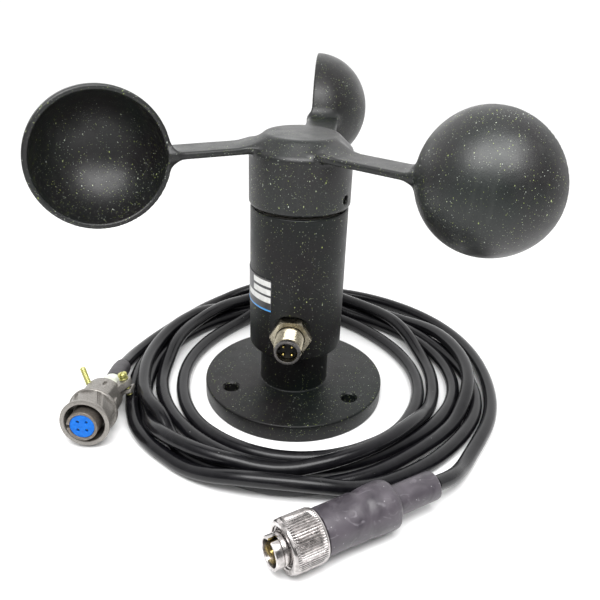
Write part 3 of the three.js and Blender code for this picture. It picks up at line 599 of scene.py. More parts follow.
def make_flange():
    profile = soften([
        (0, 0), (FLANGE_RADIUS, 0), (FLANGE_RADIUS, FLANGE_HEIGHT), (NECK_RADIUS, FLANGE_HEIGHT),
        (NECK_RADIUS, HOUSING_BOTTOM), (0, HOUSING_BOTTOM)], 0.9, 4)
    flange = turned("base_plate", profile, segments=160)
    countersink = 0.7
    holes = [turned("hole", [
        (0, -1), (MOUNT_HOLE_RADIUS, -1), (MOUNT_HOLE_RADIUS, FLANGE_HEIGHT - countersink),
        (MOUNT_HOLE_RADIUS + 2 * countersink, FLANGE_HEIGHT + countersink), (0, FLANGE_HEIGHT + countersink),
    ], standing(polar(MOUNT_CIRCLE_RADIUS, azimuth)), 48) for azimuth in MOUNT_HOLE_AZIMUTHS]
    head_room, head_top, shank_room = 3.8, 4.6, 2.1
    counterbores = [turned("hole", [
        (0, -1), (head_room, -1), (head_room, head_top), (shank_room, head_top),
        (shank_room, HOUSING_BOTTOM + 1), (0, HOUSING_BOTTOM + 1),
    ], standing(polar(BASE_SCREW_CIRCLE, azimuth)), 24) for azimuth in BASE_SCREW_AZIMUTHS]
    cut(flange, *holes, *counterbores, crease=40)
    show(flange, "black_paint", "stator", "black_paint", "base_flange")


def make_housing():
    floor_top, bore, seat_radius, seat_depth = HOUSING_BOTTOM + 5, 17.5, 18.4, 2.0
    profile = soften([
        (0, HOUSING_BOTTOM), (HOUSING_RADIUS, HOUSING_BOTTOM), (HOUSING_RADIUS, HOUSING_TOP),
        (seat_radius, HOUSING_TOP), (seat_radius, HOUSING_TOP - seat_depth), (bore, HOUSING_TOP - seat_depth),
        (bore, floor_top), (0, floor_top)], 0.8, 4)
    tube = turned("housing_tube", profile, segments=144)
    port = turned("hole", disc_profile(PORT_RADIUS, 10, 30), RECEPTACLE, 48)
    spot_face = turned("hole", disc_profile(9.2, 18.2, 30), RECEPTACLE, 64)
    threads = [turned("hole", disc_profile(2.1, HOUSING_BOTTOM - 1, floor_top + 1),
                      standing(polar(BASE_SCREW_CIRCLE, azimuth)), 24) for azimuth in BASE_SCREW_AZIMUTHS]
    cut(tube, port, spot_face, *threads, crease=32)
    show(tube, "black_paint", "stator", "black_paint", "sensor_housing")


def curved_patch(name, from_azimuth, to_azimuth, low, high, inner, outer, corner=0.0):
    """A patch of film on a round body, with rounded corners."""
    steps = max(6, round(abs(to_azimuth - from_azimuth) / 2))
    width = radians(to_azimuth - from_azimuth) * outer
    rings = []
    for step in range(steps + 1):
        along = width * step / steps
        edge = min(along, width - along)
        inset = corner - math.sqrt(max(0, corner ** 2 - max(0, corner - edge) ** 2)) if corner else 0
        azimuth = from_azimuth + (to_azimuth - from_azimuth) * step / steps
        rings.append([polar(radius, azimuth, height) for radius, height in (
            (inner, low + inset), (outer, low + inset), (outer, high - inset), (inner, high - inset))])
    return lofted(name, rings)


def make_label():
    face = HOUSING_RADIUS + 0.28
    film = curved_patch("label_plate", -210, -120, 48.3, 62.7, HOUSING_RADIUS + 0.02, face, 1.0)
    show(film, "label_film", "stator", "label_film", "label_film")
    raised = face + 0.03
    rows = [(-151, 61.9, 59.5), (-151, 58.3, 55.8), (-165, 54.8, 52.3)]
    boxes = [curved_patch("box", start, -121, low, high, face - 0.1, raised) for start, high, low in rows]
    silver = gathered(boxes[0], *boxes[1:])
    silver.name = "label_boxes"
    show(silver, "label_silver", "stator", "label_film")
    stripe = curved_patch("label_stripe", -209, -120.6, 48.5, 49.2, face - 0.1, raised)
    show(stripe, "label_blue", "stator", "label_film")
    frame_line = curved_patch("label_frame_line", -209, -120.6, 62.3, 62.5, face - 0.1, raised)
    show(frame_line, "dark_nickel", "stator", "label_film")


make_flange()
make_housing()
make_label()


# ---- Receptacle ----
PIN_PITCH = 3.5
PIN_PLACES = [(x * PIN_PITCH / 2, y * PIN_PITCH / 2) for x, y in ((-1, -1), (1, -1), (1, 1), (-1, 1))]


def screw_thread(start, end, root, crest, pitch):
    """The outline of a thread as rounded ridges, from one height to another."""
    count = round(abs(end - start) / pitch)
    step = (end - start) / count
    points = []
    for ridge in range(count):
        base = start + ridge * step
        points += [(root, base), (crest - 0.08, base + 0.3 * step), (crest, base + 0.5 * step),
                   (crest - 0.08, base + 0.7 * step)]
    return points + [(root, end)]


def pin(name, radius, low, high, place):
    profile = [(0, low), (radius, low), (radius, high - radius), (radius * 0.87, high - radius * 0.5),
               (radius * 0.5, high - radius * 0.13), (0, high)]
    return turned(name, profile, place, 20)


def make_receptacle():
    cavity, thread, root, tip_radius, rear, tip = 4.2, 5.8, 5.3, 5.3, 12.0, 34.0
    profile = [(cavity, rear), (thread, rear), (thread, 14.4), (6.4, 14.4), (6.4, 15.9), (thread, 15.9),
               (thread, 23.6)]
    profile += screw_thread(23.8, 31.8, root, thread, 1.0)
    profile += [(root, 31.9), (root, 32.2), (root - 0.3, 32.3), (root - 0.3, tip - 0.3), (cavity, tip - 0.3)]
    shell = turned("receptacle_barrel", profile, RECEPTACLE, 72)
    show(shell, "nickel", "stator", "nickel", "receptacle_shell")

    rim = turned("receptacle_rim", soften([
        (cavity + 0.4, 32.3), (tip_radius, 32.3), (tip_radius, tip), (cavity, tip), (cavity, tip - 0.3),
        (cavity + 0.4, tip - 0.3)], 0.2), RECEPTACLE, 72)
    show(rim, "dark_nickel", "stator", "nickel")

    insert_front = 31.4
    core_profile = soften(disc_profile(cavity - 0.3, rear + 1, insert_front), 0.3)
    insert = turned("receptacle_core", core_profile, RECEPTACLE, 48)
    holes = [turned("hole", disc_profile(0.8, 10, insert_front + 1), beside(RECEPTACLE, place), 20)
             for place in PIN_PLACES]
    cut(insert, *holes)
    key = block("key", (-cavity + 0.02, -0.55, insert_front - 1), (-cavity + 1.0, 0.55, 32.8), RECEPTACLE)
    gathered(insert, key)
    show(insert, "black_plastic", "stator", "black_plastic", "receptacle_insert")
    for number, place in enumerate(PIN_PLACES, 1):
        contact = pin(f"receptacle_contact_{number}", 0.5, 11, 32.4, beside(RECEPTACLE, place))
        show(contact, "gold_contact", "stator", "gold_contact", f"receptacle_pin_{number}")

    washer_back = 18.5
    washer_profile = soften(ring_profile(PORT_RADIUS, 7.4, washer_back, washer_back + 0.5), 0.15)
    washer = turned("receptacle_seal", washer_profile, RECEPTACLE, 64)
    show(washer, "nickel", "stator", "rubber", "receptacle_washer")

    nut_back, nut_front, corner = 19.3, 22.9, 8.78
    flats = 6
    prism_points = [(corner * cos(2 * pi * side / flats), corner * sin(2 * pi * side / flats))
                    for side in range(flats)]
    prism = [[(x, y, height) for x, y in prism_points] for height in (nut_back, nut_front)]
    nut = lofted("receptacle_hex_nut", prism, RECEPTACLE)
    chamfer = 0.75
    rounder = turned("rounder", [
        (0, nut_back), (corner - chamfer, nut_back), (corner + 0.05, nut_back + chamfer * 0.6),
        (corner + 0.05, nut_front - chamfer * 0.6), (corner - chamfer, nut_front), (0, nut_front),
    ], RECEPTACLE, 96)
    combine(nut, "INTERSECT", rounder)
    bore = turned("hole", disc_profile(PORT_RADIUS, nut_back - 1, nut_front + 1), RECEPTACLE, 64)
    cut(nut, bore, crease=20)
    show(nut, "nickel", "stator", "nickel", "receptacle_nut")


make_receptacle()


# ---- Rotor casting: hub, arms and cups in one piece, drawn as the zero of a distance field ----
CUP_AZIMUTHS = (-34.6, 85.4, -154.6)
CUP_CIRCLE_RADIUS, CUP_HEIGHT = 76.8, 113.8
CUP_RADIUS, CUP_DEPTH, CUP_WALL = 25.4, 24.6, 2.0
HUB_RADIUS, HUB_BOTTOM, HUB_SHOULDER, HUB_TOP, HUB_TOP_RADIUS = 20.6, 90.8, 112.6, 118.5, 14.4
ARM_START, ARM_END = 17.0, 53.0
ARM_BACK, ARM_FRONT, ARM_BOTTOM, ARM_TOP = -12.2, 1.5, 111.7, 114.4
CASTING_GRID = 0.7


def meet(first, second, ease):
    """The union of two distances, with a fillet about ease wide."""
    near = np.maximum(ease - np.abs(first - second), 0) / ease
    return np.minimum(first, second) - near * near * ease / 4


def overlap(first, second, ease):
    """The intersection of two distances, with its edge rounded."""
    return -meet(-first, -second, ease)


def hub_distance(radius, z):
    edge = 0.9
    slope = Vector((HUB_TOP - HUB_SHOULDER, HUB_RADIUS - HUB_TOP_RADIUS)).normalized()
    cone = (radius - HUB_RADIUS) * slope.x + (z - HUB_SHOULDER) * slope.y
    shell = overlap(overlap(radius - HUB_RADIUS, cone, edge), z - HUB_TOP, edge)
    shell = overlap(shell, HUB_BOTTOM - z, edge)
    skirt_inner, boss, cavity_top, boss_bottom, neck, neck_bottom, bore, bore_top = \
        17.8, 10.0, 106.0, 91.8, 4.2, 87.0, 3.3, 108.6
    cavity = np.maximum(np.maximum(radius - skirt_inner, boss - radius), z - cavity_top)
    below_boss = np.maximum(np.maximum(radius - skirt_inner, neck - radius), z - boss_bottom)
    collar = np.maximum(np.maximum(radius - neck, neck_bottom - z), z - boss_bottom - 1)
    shell = overlap(np.maximum(shell, -below_boss), -cavity, edge)
    return np.maximum(np.minimum(shell, collar), -np.maximum(radius - bore, z - bore_top))


def arm_distance(along, across, z):
    """A flat bar with rounded corners, from inside the hub to the cup's wall."""
    corner = 0.8
    middle = Vector(((ARM_START + ARM_END) / 2, (ARM_BACK + ARM_FRONT) / 2, (ARM_BOTTOM + ARM_TOP) / 2))
    half = Vector((ARM_END - ARM_START, ARM_FRONT - ARM_BACK, ARM_TOP - ARM_BOTTOM)) / 2
    gaps = [np.abs(value - centre) - size + corner
            for value, centre, size in zip((along, across, z), middle, half)]
    outside = np.sqrt(sum(np.maximum(gap, 0) ** 2 for gap in gaps))
    return outside + np.minimum(np.maximum(np.maximum(gaps[0], gaps[1]), gaps[2]), 0) - corner


def bowl_distance(side, depth, rise, radius, deep):
    """Below the rim a half ellipsoid, above it a tube. depth grows from the rim towards the bottom."""
    below_rim = np.maximum(depth, 0) ** 2 / deep ** 2
    return (np.sqrt((side ** 2 + rise ** 2) / radius ** 2 + below_rim) - 1) * radius


def casting_distance(points):
    x, y, z = points.T
    body = hub_distance(np.hypot(x, y), z)
    fillet_above, fillet_below, fillet_cup, rim = 6.5, 1.6, 5.0, 0.7
    ease = np.interp(z, (ARM_BOTTOM, ARM_TOP), (fillet_below, fillet_above))
    for azimuth in CUP_AZIMUTHS:
        turn = radians(azimuth)
        along = x * cos(turn) + y * sin(turn)
        across = y * cos(turn) - x * sin(turn)
        side, depth, rise = along - CUP_CIRCLE_RADIUS, -across, z - CUP_HEIGHT
        cup = overlap(bowl_distance(side, depth, rise, CUP_RADIUS, CUP_DEPTH), across, rim)
        branch = meet(arm_distance(along, across, z), cup, fillet_cup)
        hollow = bowl_distance(side, depth, rise, CUP_RADIUS - CUP_WALL, CUP_DEPTH - CUP_WALL)
        branch = overlap(branch, -hollow, rim)
        body = meet(body, branch, ease)
    turn, screw_height, screw_room, screw_inner = radians(-29), 95.0, 1.75, 15.0
    out = x * cos(turn) + y * sin(turn)
    from_axis = np.hypot(y * cos(turn) - x * sin(turn), z - screw_height)
    hole = np.maximum(from_axis - screw_room, screw_inner - out)
    return np.maximum(body, -hole)


def surface_net(distance, low, high, step):
    """A quad mesh of a distance field's zero, with one vertex for each cell that the surface crosses."""
    axes = [np.arange(start, end, step) for start, end in zip(low, high)]
    counts = [len(axis) for axis in axes]
    field = np.empty(counts, dtype=np.float32)
    across = np.stack(np.meshgrid(axes[1], axes[2], indexing="ij"), axis=-1).reshape(-1, 2)
    for row, x in enumerate(axes[0]):
        field[row] = distance(np.column_stack([np.full(len(across), x), across])).reshape(counts[1:])
    corners = [(i, j, k) for i in (0, 1) for j in (0, 1) for k in (0, 1)]
    cell_counts = [count - 1 for count in counts]
    window = {corner: field[tuple(slice(start, start + size) for start, size in zip(corner, cell_counts))]
              for corner in corners}
    inside = sum((window[corner] < 0).astype(np.int8) for corner in corners)
    crossed = (inside > 0) & (inside < 8)
    numbers = np.full(cell_counts, -1, dtype=np.int64)
    numbers[crossed] = np.arange(crossed.sum())
    values = {corner: window[corner][crossed].astype(float) for corner in corners}
    total = np.zeros((int(crossed.sum()), 3))
    hits = np.zeros(len(total))
    for corner in corners:
        for axis in range(3):
            if corner[axis]:
                continue
            other = tuple(1 if each == axis else corner[each] for each in range(3))
            a, b = values[corner], values[other]
            cuts = (a < 0) != (b < 0)
            share = np.where(cuts, a / np.where(cuts, a - b, 1), 0)
            place = np.tile(np.array(corner, dtype=float), (len(total), 1))
            place[:, axis] = share
            total += place * cuts[:, None]
            hits += cuts
    cells = np.argwhere(crossed)
    points = np.array(low) + (cells + total / hits[:, None]) * step
    faces = []
    negative = field < 0
    for axis in range(3):
        first, second = (axis + 1) % 3, (axis + 2) % 3
        before = np.take(negative, range(counts[axis] - 1), axis)
        after = np.take(negative, range(1, counts[axis]), axis)
        edges = np.argwhere(before != after)
        edges = edges[(edges[:, first] > 0) & (edges[:, second] > 0)
                      & (edges[:, first] < counts[first] - 1) & (edges[:, second] < counts[second] - 1)]
        ring = []
        for a, b in ((0, 0), (1, 0), (1, 1), (0, 1)):
            cell = edges.copy()
            cell[:, first] -= a
            cell[:, second] -= b
            ring.append(numbers[tuple(cell.T)])
        ring = np.stack(ring, axis=1)
        leaving = before[tuple(edges.T)]
        faces.append(np.where(leaving[:, None], ring[:, ::-1], ring))
    return points, np.concatenate(faces)


def onto_surface(distance, points, rounds=3, reach=0.05, most=0.35):
    """Moves points along the field's slope until they lie on its zero."""
    for _ in range(rounds):
        rises = [distance(points + reach * step) - distance(points - reach * step) for step in np.eye(3)]
        slope = np.stack(rises, axis=1) / (2 * reach)
        length = np.maximum((slope ** 2).sum(axis=1), 0.25)
        points = points - np.clip(distance(points) / length, -most, most)[:, None] * slope
    return points


def make_rotor():
    points, faces = surface_net(casting_distance, (-97, -71, 86.2), (96, 104, 140.6), CASTING_GRID)
    points = onto_surface(casting_distance, points)
    mesh = bpy.data.meshes.new("rotor_casting")
    mesh.from_pydata((points * MM).tolist(), [], faces.tolist())
    casting = add("rotor_casting", mesh)
    tidy(casting, 60, False)
    show(casting, "hub_paint", "rotor", "black_paint", "rotor_hub", "cup_1", "cup_2", "cup_3")


make_rotor()


# ---- Left plug: Z = 0 at its coupling ring's front face, Z points forward ----
PLUG = pointed((-82.1, -46.9, 11.55), -92.9, 6.5)
# The backshell and its clamp are turned round the plug's axis, right side up.
PLUG_ROLL = 17
PLUG_REAR = PLUG @ Matrix.Rotation(radians(PLUG_ROLL), 4, "Z")
CLAMP_SCREW_SIDE, CLAMP_SCREW_BACK = 8.0, -30.3
CLAMP_HALF_WIDTH, CLAMP_REAR, CLAMP_FRONT = 10.4, -33.5, -27.3
CLAMP_TOP, CLAMP_SPLIT, SADDLE_TOP, CLAMP_BOTTOM, CLAMP_EAR_BOTTOM = 2.4, -0.3, -1.7, -5.7, -3.3


def coupling_flats(radius, height, angle):
    """Six flats round the coupling ring's middle, with a slanting groove beside each corner."""
    if radius < 9 or not -9.6 < height < -1.4:
        return radius
    slant = radians(2.2) * (height + 5.5)
    off = (angle - pi / 2 + slant + pi / 6) % (pi / 3) - pi / 6
    flat = min(9.1 / cos(off), radius)
    groove = max(0.0, 1 - abs(abs(off) - radians(27.5)) / radians(3.2))
    return flat - 0.75 * min(1.0, 2 * groove)


def make_plug():
    ring_profile_points = [
        (6.6, -11.5), (9.3, -11.5), (9.9, -11.25), (10.2, -10.7), (10.2, -10.2), (9.95, -9.75), (9.7, -9.6)]
    ring_profile_points += [(9.7, -9.5 + 0.5 * step) for step in range(17)]
    ring_profile_points += [(9.75, -1.4), (10.1, -1.1), (10.2, -0.7), (10.05, -0.15), (9.8, 0), (8.45, 0),
                            (8.2, -0.2), (8.2, -9.5), (6.6, -9.5)]
    collar = turned("plug_collar", ring_profile_points, PLUG, 216, coupling_flats, 32)
    show(collar, "grey_alloy", "plug_ring", "grey_alloy", "plug_coupling_ring")

    barrel = turned("plug_shell", soften(ring_profile(5.0, 6.2, -14, 2.6), 0.35), PLUG, 72)
    keyway = block("keyway", (-7, -0.9, 0.6), (-4.5, 0.5, 4), PLUG)
    cut(barrel, keyway)
    show(barrel, "warm_alloy", "stator", "grey_alloy", "plug_barrel")

    insert = turned("plug_socket_block", soften(disc_profile(4.95, -13.5, 2.35), 0.25), PLUG, 64)
    holes = []
    for place in PIN_PLACES:
        hole_profile = [(0, -4), (0.6, -4), (0.6, 2.15), (0.95, 2.5), (0.95, 4), (0, 4)]
        holes.append(turned("hole", hole_profile, beside(PLUG, place), 24))
    cut(insert, *holes)
    show(insert, "blue_insert", "stator", "blue_insert", "plug_insert")
    sleeves = [turned("sleeve", ring_profile(0.3, 0.56, -3.9, 1.2), beside(PLUG, place), 20)
               for place in PIN_PLACES]
    contacts = gathered(sleeves[0], *sleeves[1:])
    contacts.name = "plug_contacts"
    show(contacts, "brass", "stator", "brass")
    make_backshell()
    make_clamp_screws()


def backshell_section(radius, height, angle):
    """Round above and below, with a flat on each side."""
    if radius < 7 or height > -13.5:
        return radius
    side = 7.1 / max(0.2, abs(cos(angle)))
    return min(radius, side)


def clamp_cuts(way_front):
    """The cable's way and the two screw holes, to cut from either half of the clamp."""
    cuts = [turned("hole", disc_profile(4.95, CLAMP_REAR - 2, way_front), PLUG_REAR, 64)]
    for side in (-1, 1):
        place = PLUG_REAR @ Matrix.Translation((side * CLAMP_SCREW_SIDE, 0, CLAMP_SCREW_BACK)) \
            @ Matrix.Rotation(-pi / 2, 4, "X")
        cuts.append(turned("hole", disc_profile(1.6, -9, 9), place, 24))
    return cuts


def make_backshell():
    body = turned("plug_rear_shell", soften([
        (6.4, -11.9), (8.6, -11.9), (8.6, -13.4), (8.35, -14.2), (8.3, -19), (8.1, -24.4), (7.4, -25),
        (4.95, -25), (4.95, -16), (6.4, -16)], 0.4), PLUG_REAR, 120, backshell_section)
    ears = []
    for side in (-1, 1):
        inner, outer = 5.2, CLAMP_HALF_WIDTH
        plan = [(inner, -22.5), (6.9, -22.5), (outer - 1.2, -26.4), (outer, -28.2), (outer, CLAMP_REAR + 1.4),
                (outer - 1.4, CLAMP_REAR), (inner, CLAMP_REAR)]
        rings = [[(side * x, height, z) for x, z in plan] for height in (CLAMP_SPLIT, CLAMP_TOP)]
        ears.append(lofted("ear", rings, PLUG_REAR))
    boss_place = PLUG_REAR @ Matrix.Translation((6.6, -1.2, -17.2)) @ Matrix.Rotation(pi / 2, 4, "Y")
    boss = turned("boss", soften(disc_profile(1.7, 0, 1.5), 0.6), boss_place, 32)
    join(body, *ears, boss)
    way, *screw_holes = clamp_cuts(-17)
    slot_mark = block("slot", (1.6, 7.1, -21.4), (2.9, 9, -18.0), PLUG)
    cut(body, way, slot_mark, *screw_holes)
    bevel(body, 0.25)
    show(body, "grey_alloy", "stator", "grey_alloy", "plug_backshell")

    half, hump = CLAMP_HALF_WIDTH, 5.5
    plan = [(-half, CLAMP_EAR_BOTTOM), (-half, SADDLE_TOP), (half, SADDLE_TOP), (half, CLAMP_EAR_BOTTOM),
            (hump + 0.5, CLAMP_EAR_BOTTOM), (hump - 0.6, CLAMP_BOTTOM + 0.6), (hump - 1.4, CLAMP_BOTTOM),
            (1.4 - hump, CLAMP_BOTTOM), (0.6 - hump, CLAMP_BOTTOM + 0.6), (-hump - 0.5, CLAMP_EAR_BOTTOM)]
    rings = [[(x, y, z) for x, y in plan] for z in (CLAMP_REAR, CLAMP_FRONT)]
    saddle = lofted("plug_saddle", rings, PLUG_REAR)
    cut(saddle, *clamp_cuts(-20))
    bevel(saddle, 0.3)
    show(saddle, "grey_alloy", "stator", "grey_alloy", "plug_clamp_saddle")

    liner = turned("plug_cable_liner", soften([
        (3.4, -36.6), (4.0, -36.6), (4.3, -35.4), (4.7, -33), (4.7, -17), (3.4, -17)], 0.5), PLUG, 64)
    show(liner, "pale_liner", "stator", "pale_liner", "plug_liner")


def make_clamp_screws():
    shank, pitch, head_radius = 1.3, 0.7, 2.0
    for number, side, head_up, head, length in ((1, 1, True, 3.2, 9.6), (2, -1, False, 1.4, 15.6)):
        start = CLAMP_TOP + 0.3 + head if head_up else CLAMP_EAR_BOTTOM - 0.3 - head
        turn = pi / 2 if head_up else -pi / 2
        place = PLUG_REAR @ Matrix.Translation((side * CLAMP_SCREW_SIDE, start, CLAMP_SCREW_BACK)) \
            @ Matrix.Rotation(turn, 4, "X")
        profile = [(0, 0.3), (1.3, 0.2), (1.75, 0.4), (head_radius, 0.8)]
        if head > 2:
            profile += [(head_radius, 1.7), (1.5, 1.85), (1.5, 2.1), (1.9, 2.25), (1.9, 2.75),
                        (head_radius, 2.85)]
        profile += [(head_radius, head), (shank, head)]
        profile += screw_thread(head + 0.2, head + length - 0.4, shank - 0.18, shank, pitch)
        profile += [(shank - 0.4, head + length), (0, head + length)]
        screw = turned(f"plug_long_screw_{number}", profile, place, 32)
        slot = block("slot", (-0.3, -3, -1), (0.3, 3, 0.8), place)
        cut(screw, slot)
        show(screw, "zinc_yellow", "stator", "zinc_yellow", f"plug_clamp_screw_{number}")


make_plug()


def tube_along(name, route, radii, sides=28, steps=40):
    """A closed tube whose centre follows a smooth line through the route, with the radius read along it."""
    points = [Vector(point) for point in route]
    ends = [2 * points[0] - points[1]] + points + [2 * points[-1] - points[-2]]
    line = []
    for span in range(len(points) - 1):
        a, b, c, d = ends[span:span + 4]
        for step in range(steps // (len(points) - 1)):
            t = step * (len(points) - 1) / steps
            line.append(0.5 * ((2 * b) + (c - a) * t + (2 * a - 5 * b + 4 * c - d) * t ** 2
                               + (3 * b - a - 3 * c + d) * t ** 3))
    line.append(points[-1])
    rings = []
    for index, centre in enumerate(line):
        ahead = (line[min(index + 1, len(line) - 1)] - line[max(index - 1, 0)]).normalized()
        side = Vector((0, 0, 1)).cross(ahead).normalized()
        upright = ahead.cross(side)
        along = index / (len(line) - 1)
        radius = float(np.interp(along, [place for place, _ in radii], [size for _, size in radii]))
        angles = [2 * pi * step / sides for step in range(sides)]
        rings.append([centre + radius * (cos(angle) * side + sin(angle) * upright) for angle in angles])
    return lofted(name, rings)


LEFT_SLEEVE_ROUTE = [(-80.22, -9.9, 7.3), (-80.1, -3, 6.9), (-79.6, 4.6, 6.3)]
LEFT_SLEEVE_RADII = [(0, 4.05), (0.1, 4.1), (0.75, 4.0), (0.93, 3.75), (1, 3.3)]
boot = tube_along("plug_boot", LEFT_SLEEVE_ROUTE, LEFT_SLEEVE_RADII)
show(boot, "sleeve_rubber", "stator", "rubber", "plug_strain_sleeve")


# ---- Front connector: Z = 0 at its barrel's tip, Z points forward ----
CONNECTOR = pointed((-5.9, -107.3, 9.4), -149.4)
RING_FRONT, RING_REAR, RING_RADIUS = -4.6, -17.8, 9.25
GRIP_REAR, SLEEVE_REAR = -48.5, -67.0
KNURL_RIDGES = 64


def knurl(radius, height, angle):
    if radius < RING_RADIUS - 0.2 or not RING_REAR + 1.3 < height < RING_FRONT - 1.3:
        return radius
    wave = abs((angle * KNURL_RIDGES / (2 * pi)) % 1 - 0.5) * 2
    return radius - 0.34 * max(0.0, 1 - 1.7 * wave)


def shrunk(radius, height, angle):
    """The sleeve follows what is under it unevenly."""
    if radius < 6:
        return radius
    lump = noise.noise(Vector((2.2 * cos(angle), 2.2 * sin(angle), height / 9)))
    crease = noise.noise(Vector((1.2 * cos(angle) + 7, 1.2 * sin(angle), height / 2.6)))
    rear = max(0.0, min(1.0, (-33 - height) / 8))
    return radius + 0.22 * lump + 0.16 * crease * (0.3 + rear) - 0.25


def sleeve_lumps(radius, height, angle):
    if radius <= 4.5:
        return radius
    return radius + 0.1 * noise.noise(Vector((cos(angle), sin(angle), height / 5)))


def make_connector():
    rear = RING_REAR
    profile = [(6.1, rear), (8.3, rear), (8.85, rear + 0.35), (9.1, rear + 0.9), (9.1, rear + 1.2)]
    knurled = RING_FRONT - RING_REAR - 2.4
    steps = 14
    profile += [(RING_RADIUS, rear + 1.25 + knurled * step / steps) for step in range(steps + 1)]
    profile += [(9.1, RING_FRONT - 1.1), (8.9, RING_FRONT - 0.5), (8.6, RING_FRONT - 0.12), (8.4, RING_FRONT),
                (7.35, RING_FRONT), (7.1, RING_FRONT - 0.25)]
    profile += screw_thread(RING_FRONT - 0.9, RING_FRONT - 7.5, 7.1, 6.75, 0.9)
    profile += [(7.1, RING_FRONT - 8), (6.1, RING_FRONT - 8)]
    collar = turned("connector_knurled_ring", profile, CONNECTOR, KNURL_RIDGES * 6, knurl, 30)
    show(collar, "bright_nickel", "connector_ring", "nickel", "connector_coupling_ring")

    barrel = turned("connector_front_shell", soften([
        (4.7, rear + 0.2), (5.7, rear + 0.2), (5.7, -3.6), (5.5, -3.4), (5.5, -2.9), (5.7, -2.7),
        (5.7, 0), (4.7, 0)], 0.3), CONNECTOR, 84)
    keyway = block("keyway", (-1, 4, -3.2), (1, 7, 1), CONNECTOR)
    cut(barrel, keyway)
    show(barrel, "bright_nickel", "stator", "nickel", "connector_barrel")

    core = turned("connector_core", soften(disc_profile(4.4, rear + 1, -6.5), 0.3), CONNECTOR, 48)
    show(core, "black_plastic", "stator", "black_plastic", "connector_insert")
    pins = [pin("contact", 0.5, -10, -1.5, beside(CONNECTOR, place)) for place in PIN_PLACES]
    contacts = gathered(pins[0], *pins[1:])
    contacts.name = "connector_contacts"
    show(contacts, "gold_contact", "stator", "gold_contact")

    front = rear - 0.3
    outline = [(7.4, front), (8.3, front - 0.3), (8.45, front - 2), (8.4, -28), (8.7, -33), (8.45, -35),
               (8.95, -37.5), (9.1, -40.5), (9.2, -44), (8.95, -46.4), (7.6, -47.8), (6.6, -48.3),
               (6.3, GRIP_REAR)]
    profile = [(0, front)]
    for (r0, z0), (r1, z1) in zip(outline, outline[1:]):
        rows = max(1, round(abs(z1 - z0) / 0.8))
        profile += [(r0 + (r1 - r0) * row / rows, z0 + (z1 - z0) * row / rows) for row in range(rows)]
    profile += [outline[-1], (0, GRIP_REAR)]
    grip = turned("connector_shrink_grip", profile, CONNECTOR, 96, shrunk, 60)
    show(grip, "heat_shrink", "stator", "heat_shrink", "connector_grip")

    front = GRIP_REAR - 0.3
    sleeve = turned("connector_rear_sleeve", [
        (0, front), (5.35, front)] + [(5.35, front - 1.2 * step) for step in range(1, 13)]
        + [(5.3, SLEEVE_REAR + 0.8), (5.15, SLEEVE_REAR + 0.3), (4.9, SLEEVE_REAR), (4.4, SLEEVE_REAR),
           (4.1, SLEEVE_REAR + 0.4), (4.0, SLEEVE_REAR + 1.5), (0, SLEEVE_REAR + 1.5)],
        CONNECTOR, 64, sleeve_lumps, 50)
    show(sleeve, "heat_shrink", "stator", "heat_shrink", "connector_end_sleeve")


make_connector()


# ---- CAD pieces inside, which keep their shape ----
def three(stem):
    return [f"{stem}_{number}" for number in (1, 2, 3)]


BEARINGS = [f"{place}_bearing_{part}" for place in ("lower", "upper")
            for part in ("outer_ring", "inner_ring", "ball_cage")]
INSIDE = {
    "steel": [*three("base_screw"), *three("board_screw"), "hub_set_screw", "shaft", "bearing_spacer",
              "shaft_circlip", "code_disc", "code_disc_screw", *BEARINGS],
    "grey_alloy": ["bearing_carrier"],
    "rubber": ["carrier_o_ring", "shaft_seal"],
    "circuit_board": ["circuit_board"],
    "brass": three("board_post"),
    "black_plastic": ["light_sensor"],
    "wire": ["signal_loom"],
}
for look_name, node_names in INSIDE.items():
    for node_name in node_names:
        node_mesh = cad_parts[node_name].data
        node_mesh.materials.clear()
        node_mesh.materials.append(LOOKS[look_name])


# ---- Stage ----
FLOOR_HALF = 30.0


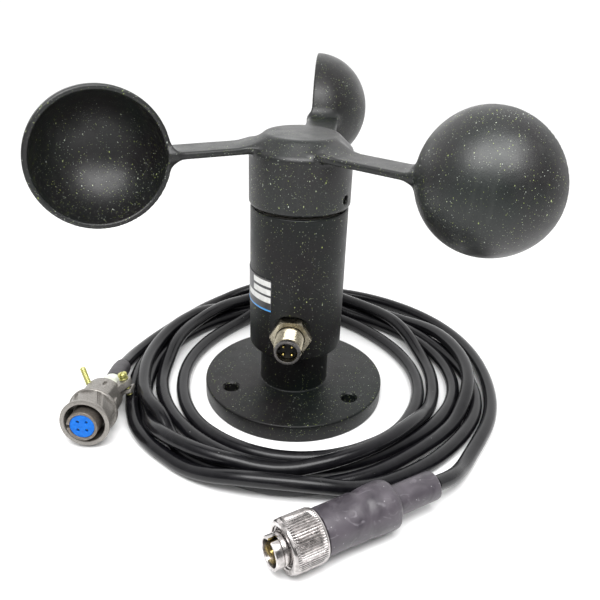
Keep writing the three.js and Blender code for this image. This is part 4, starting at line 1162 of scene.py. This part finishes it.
def make_stage():
    mesh = bpy.data.meshes.new("floor")
    corners = [(x * FLOOR_HALF, y * FLOOR_HALF, 0) for x, y in ((-1, -1), (1, -1), (1, 1), (-1, 1))]
    mesh.from_pydata(corners, [], [(0, 1, 2, 3)])
    floor = add("floor", mesh)
    look = Look("floor", Specular_IOR_Level=0.2)
    base = look.blend(look.noise(40, 2), (0.90, 0.90, 0.90), (0.94, 0.94, 0.94))
    mesh.materials.append(look.done(base, look.span(look.noise(60, 2), 0, 1, 0.7, 0.8)))


def make_world():
    """A white studio, brightest behind and above the object and dimmer towards the front."""
    world = bpy.data.worlds.new("studio")
    world.use_nodes = True
    nodes, links = world.node_tree.nodes, world.node_tree.links
    background = nodes["Background"]
    background.inputs["Color"].default_value = (1, 1, 1, 1)
    way = nodes.new("ShaderNodeSeparateXYZ")
    links.new(nodes.new("ShaderNodeTexCoord").outputs["Generated"], way.inputs[0])
    behind = nodes.new("ShaderNodeMapRange")
    behind.interpolation_type = "SMOOTHSTEP"
    for socket, number in zip(("From Min", "From Max", "To Min", "To Max"), (-0.8, 0.9, 0.2, 1.7)):
        behind.inputs[socket].default_value = number
    links.new(way.outputs["Y"], behind.inputs["Value"])
    links.new(behind.outputs["Result"], background.inputs["Strength"])
    scene.world = world


def make_sun(name, azimuth, elevation, spread, strength):
    """A very large, far softbox: even over the whole floor, with soft shadows."""
    data = bpy.data.lights.new(name, "SUN")
    data.energy = strength
    data.angle = radians(spread)
    lamp = add(name, data)
    toward = -polar(cos(radians(elevation)), azimuth, sin(radians(elevation)))
    lamp.matrix_world = toward.to_track_quat("-Z", "Y").to_matrix().to_4x4()


def make_panel(name, place, size, power):
    """A near lamp panel above the front, which gives the cups and the cable their long highlights."""
    data = bpy.data.lights.new(name, "AREA")
    data.shape = "RECTANGLE"
    data.size, data.size_y = size
    data.energy = power
    lamp = add(name, data)
    aim = Vector((0, 0, 0.05))
    turn = (aim - Vector(place)).to_track_quat("-Z", "Y").to_matrix().to_4x4()
    lamp.matrix_world = Matrix.Translation(Vector(place)) @ turn


make_stage()
make_world()
scene.view_settings.view_transform = "Standard"
make_sun("front_softbox", -106, 56, 56, 0.9)
make_panel("near_panel", (0.0, -0.17, 0.29), (0.34, 0.16), 1.5)
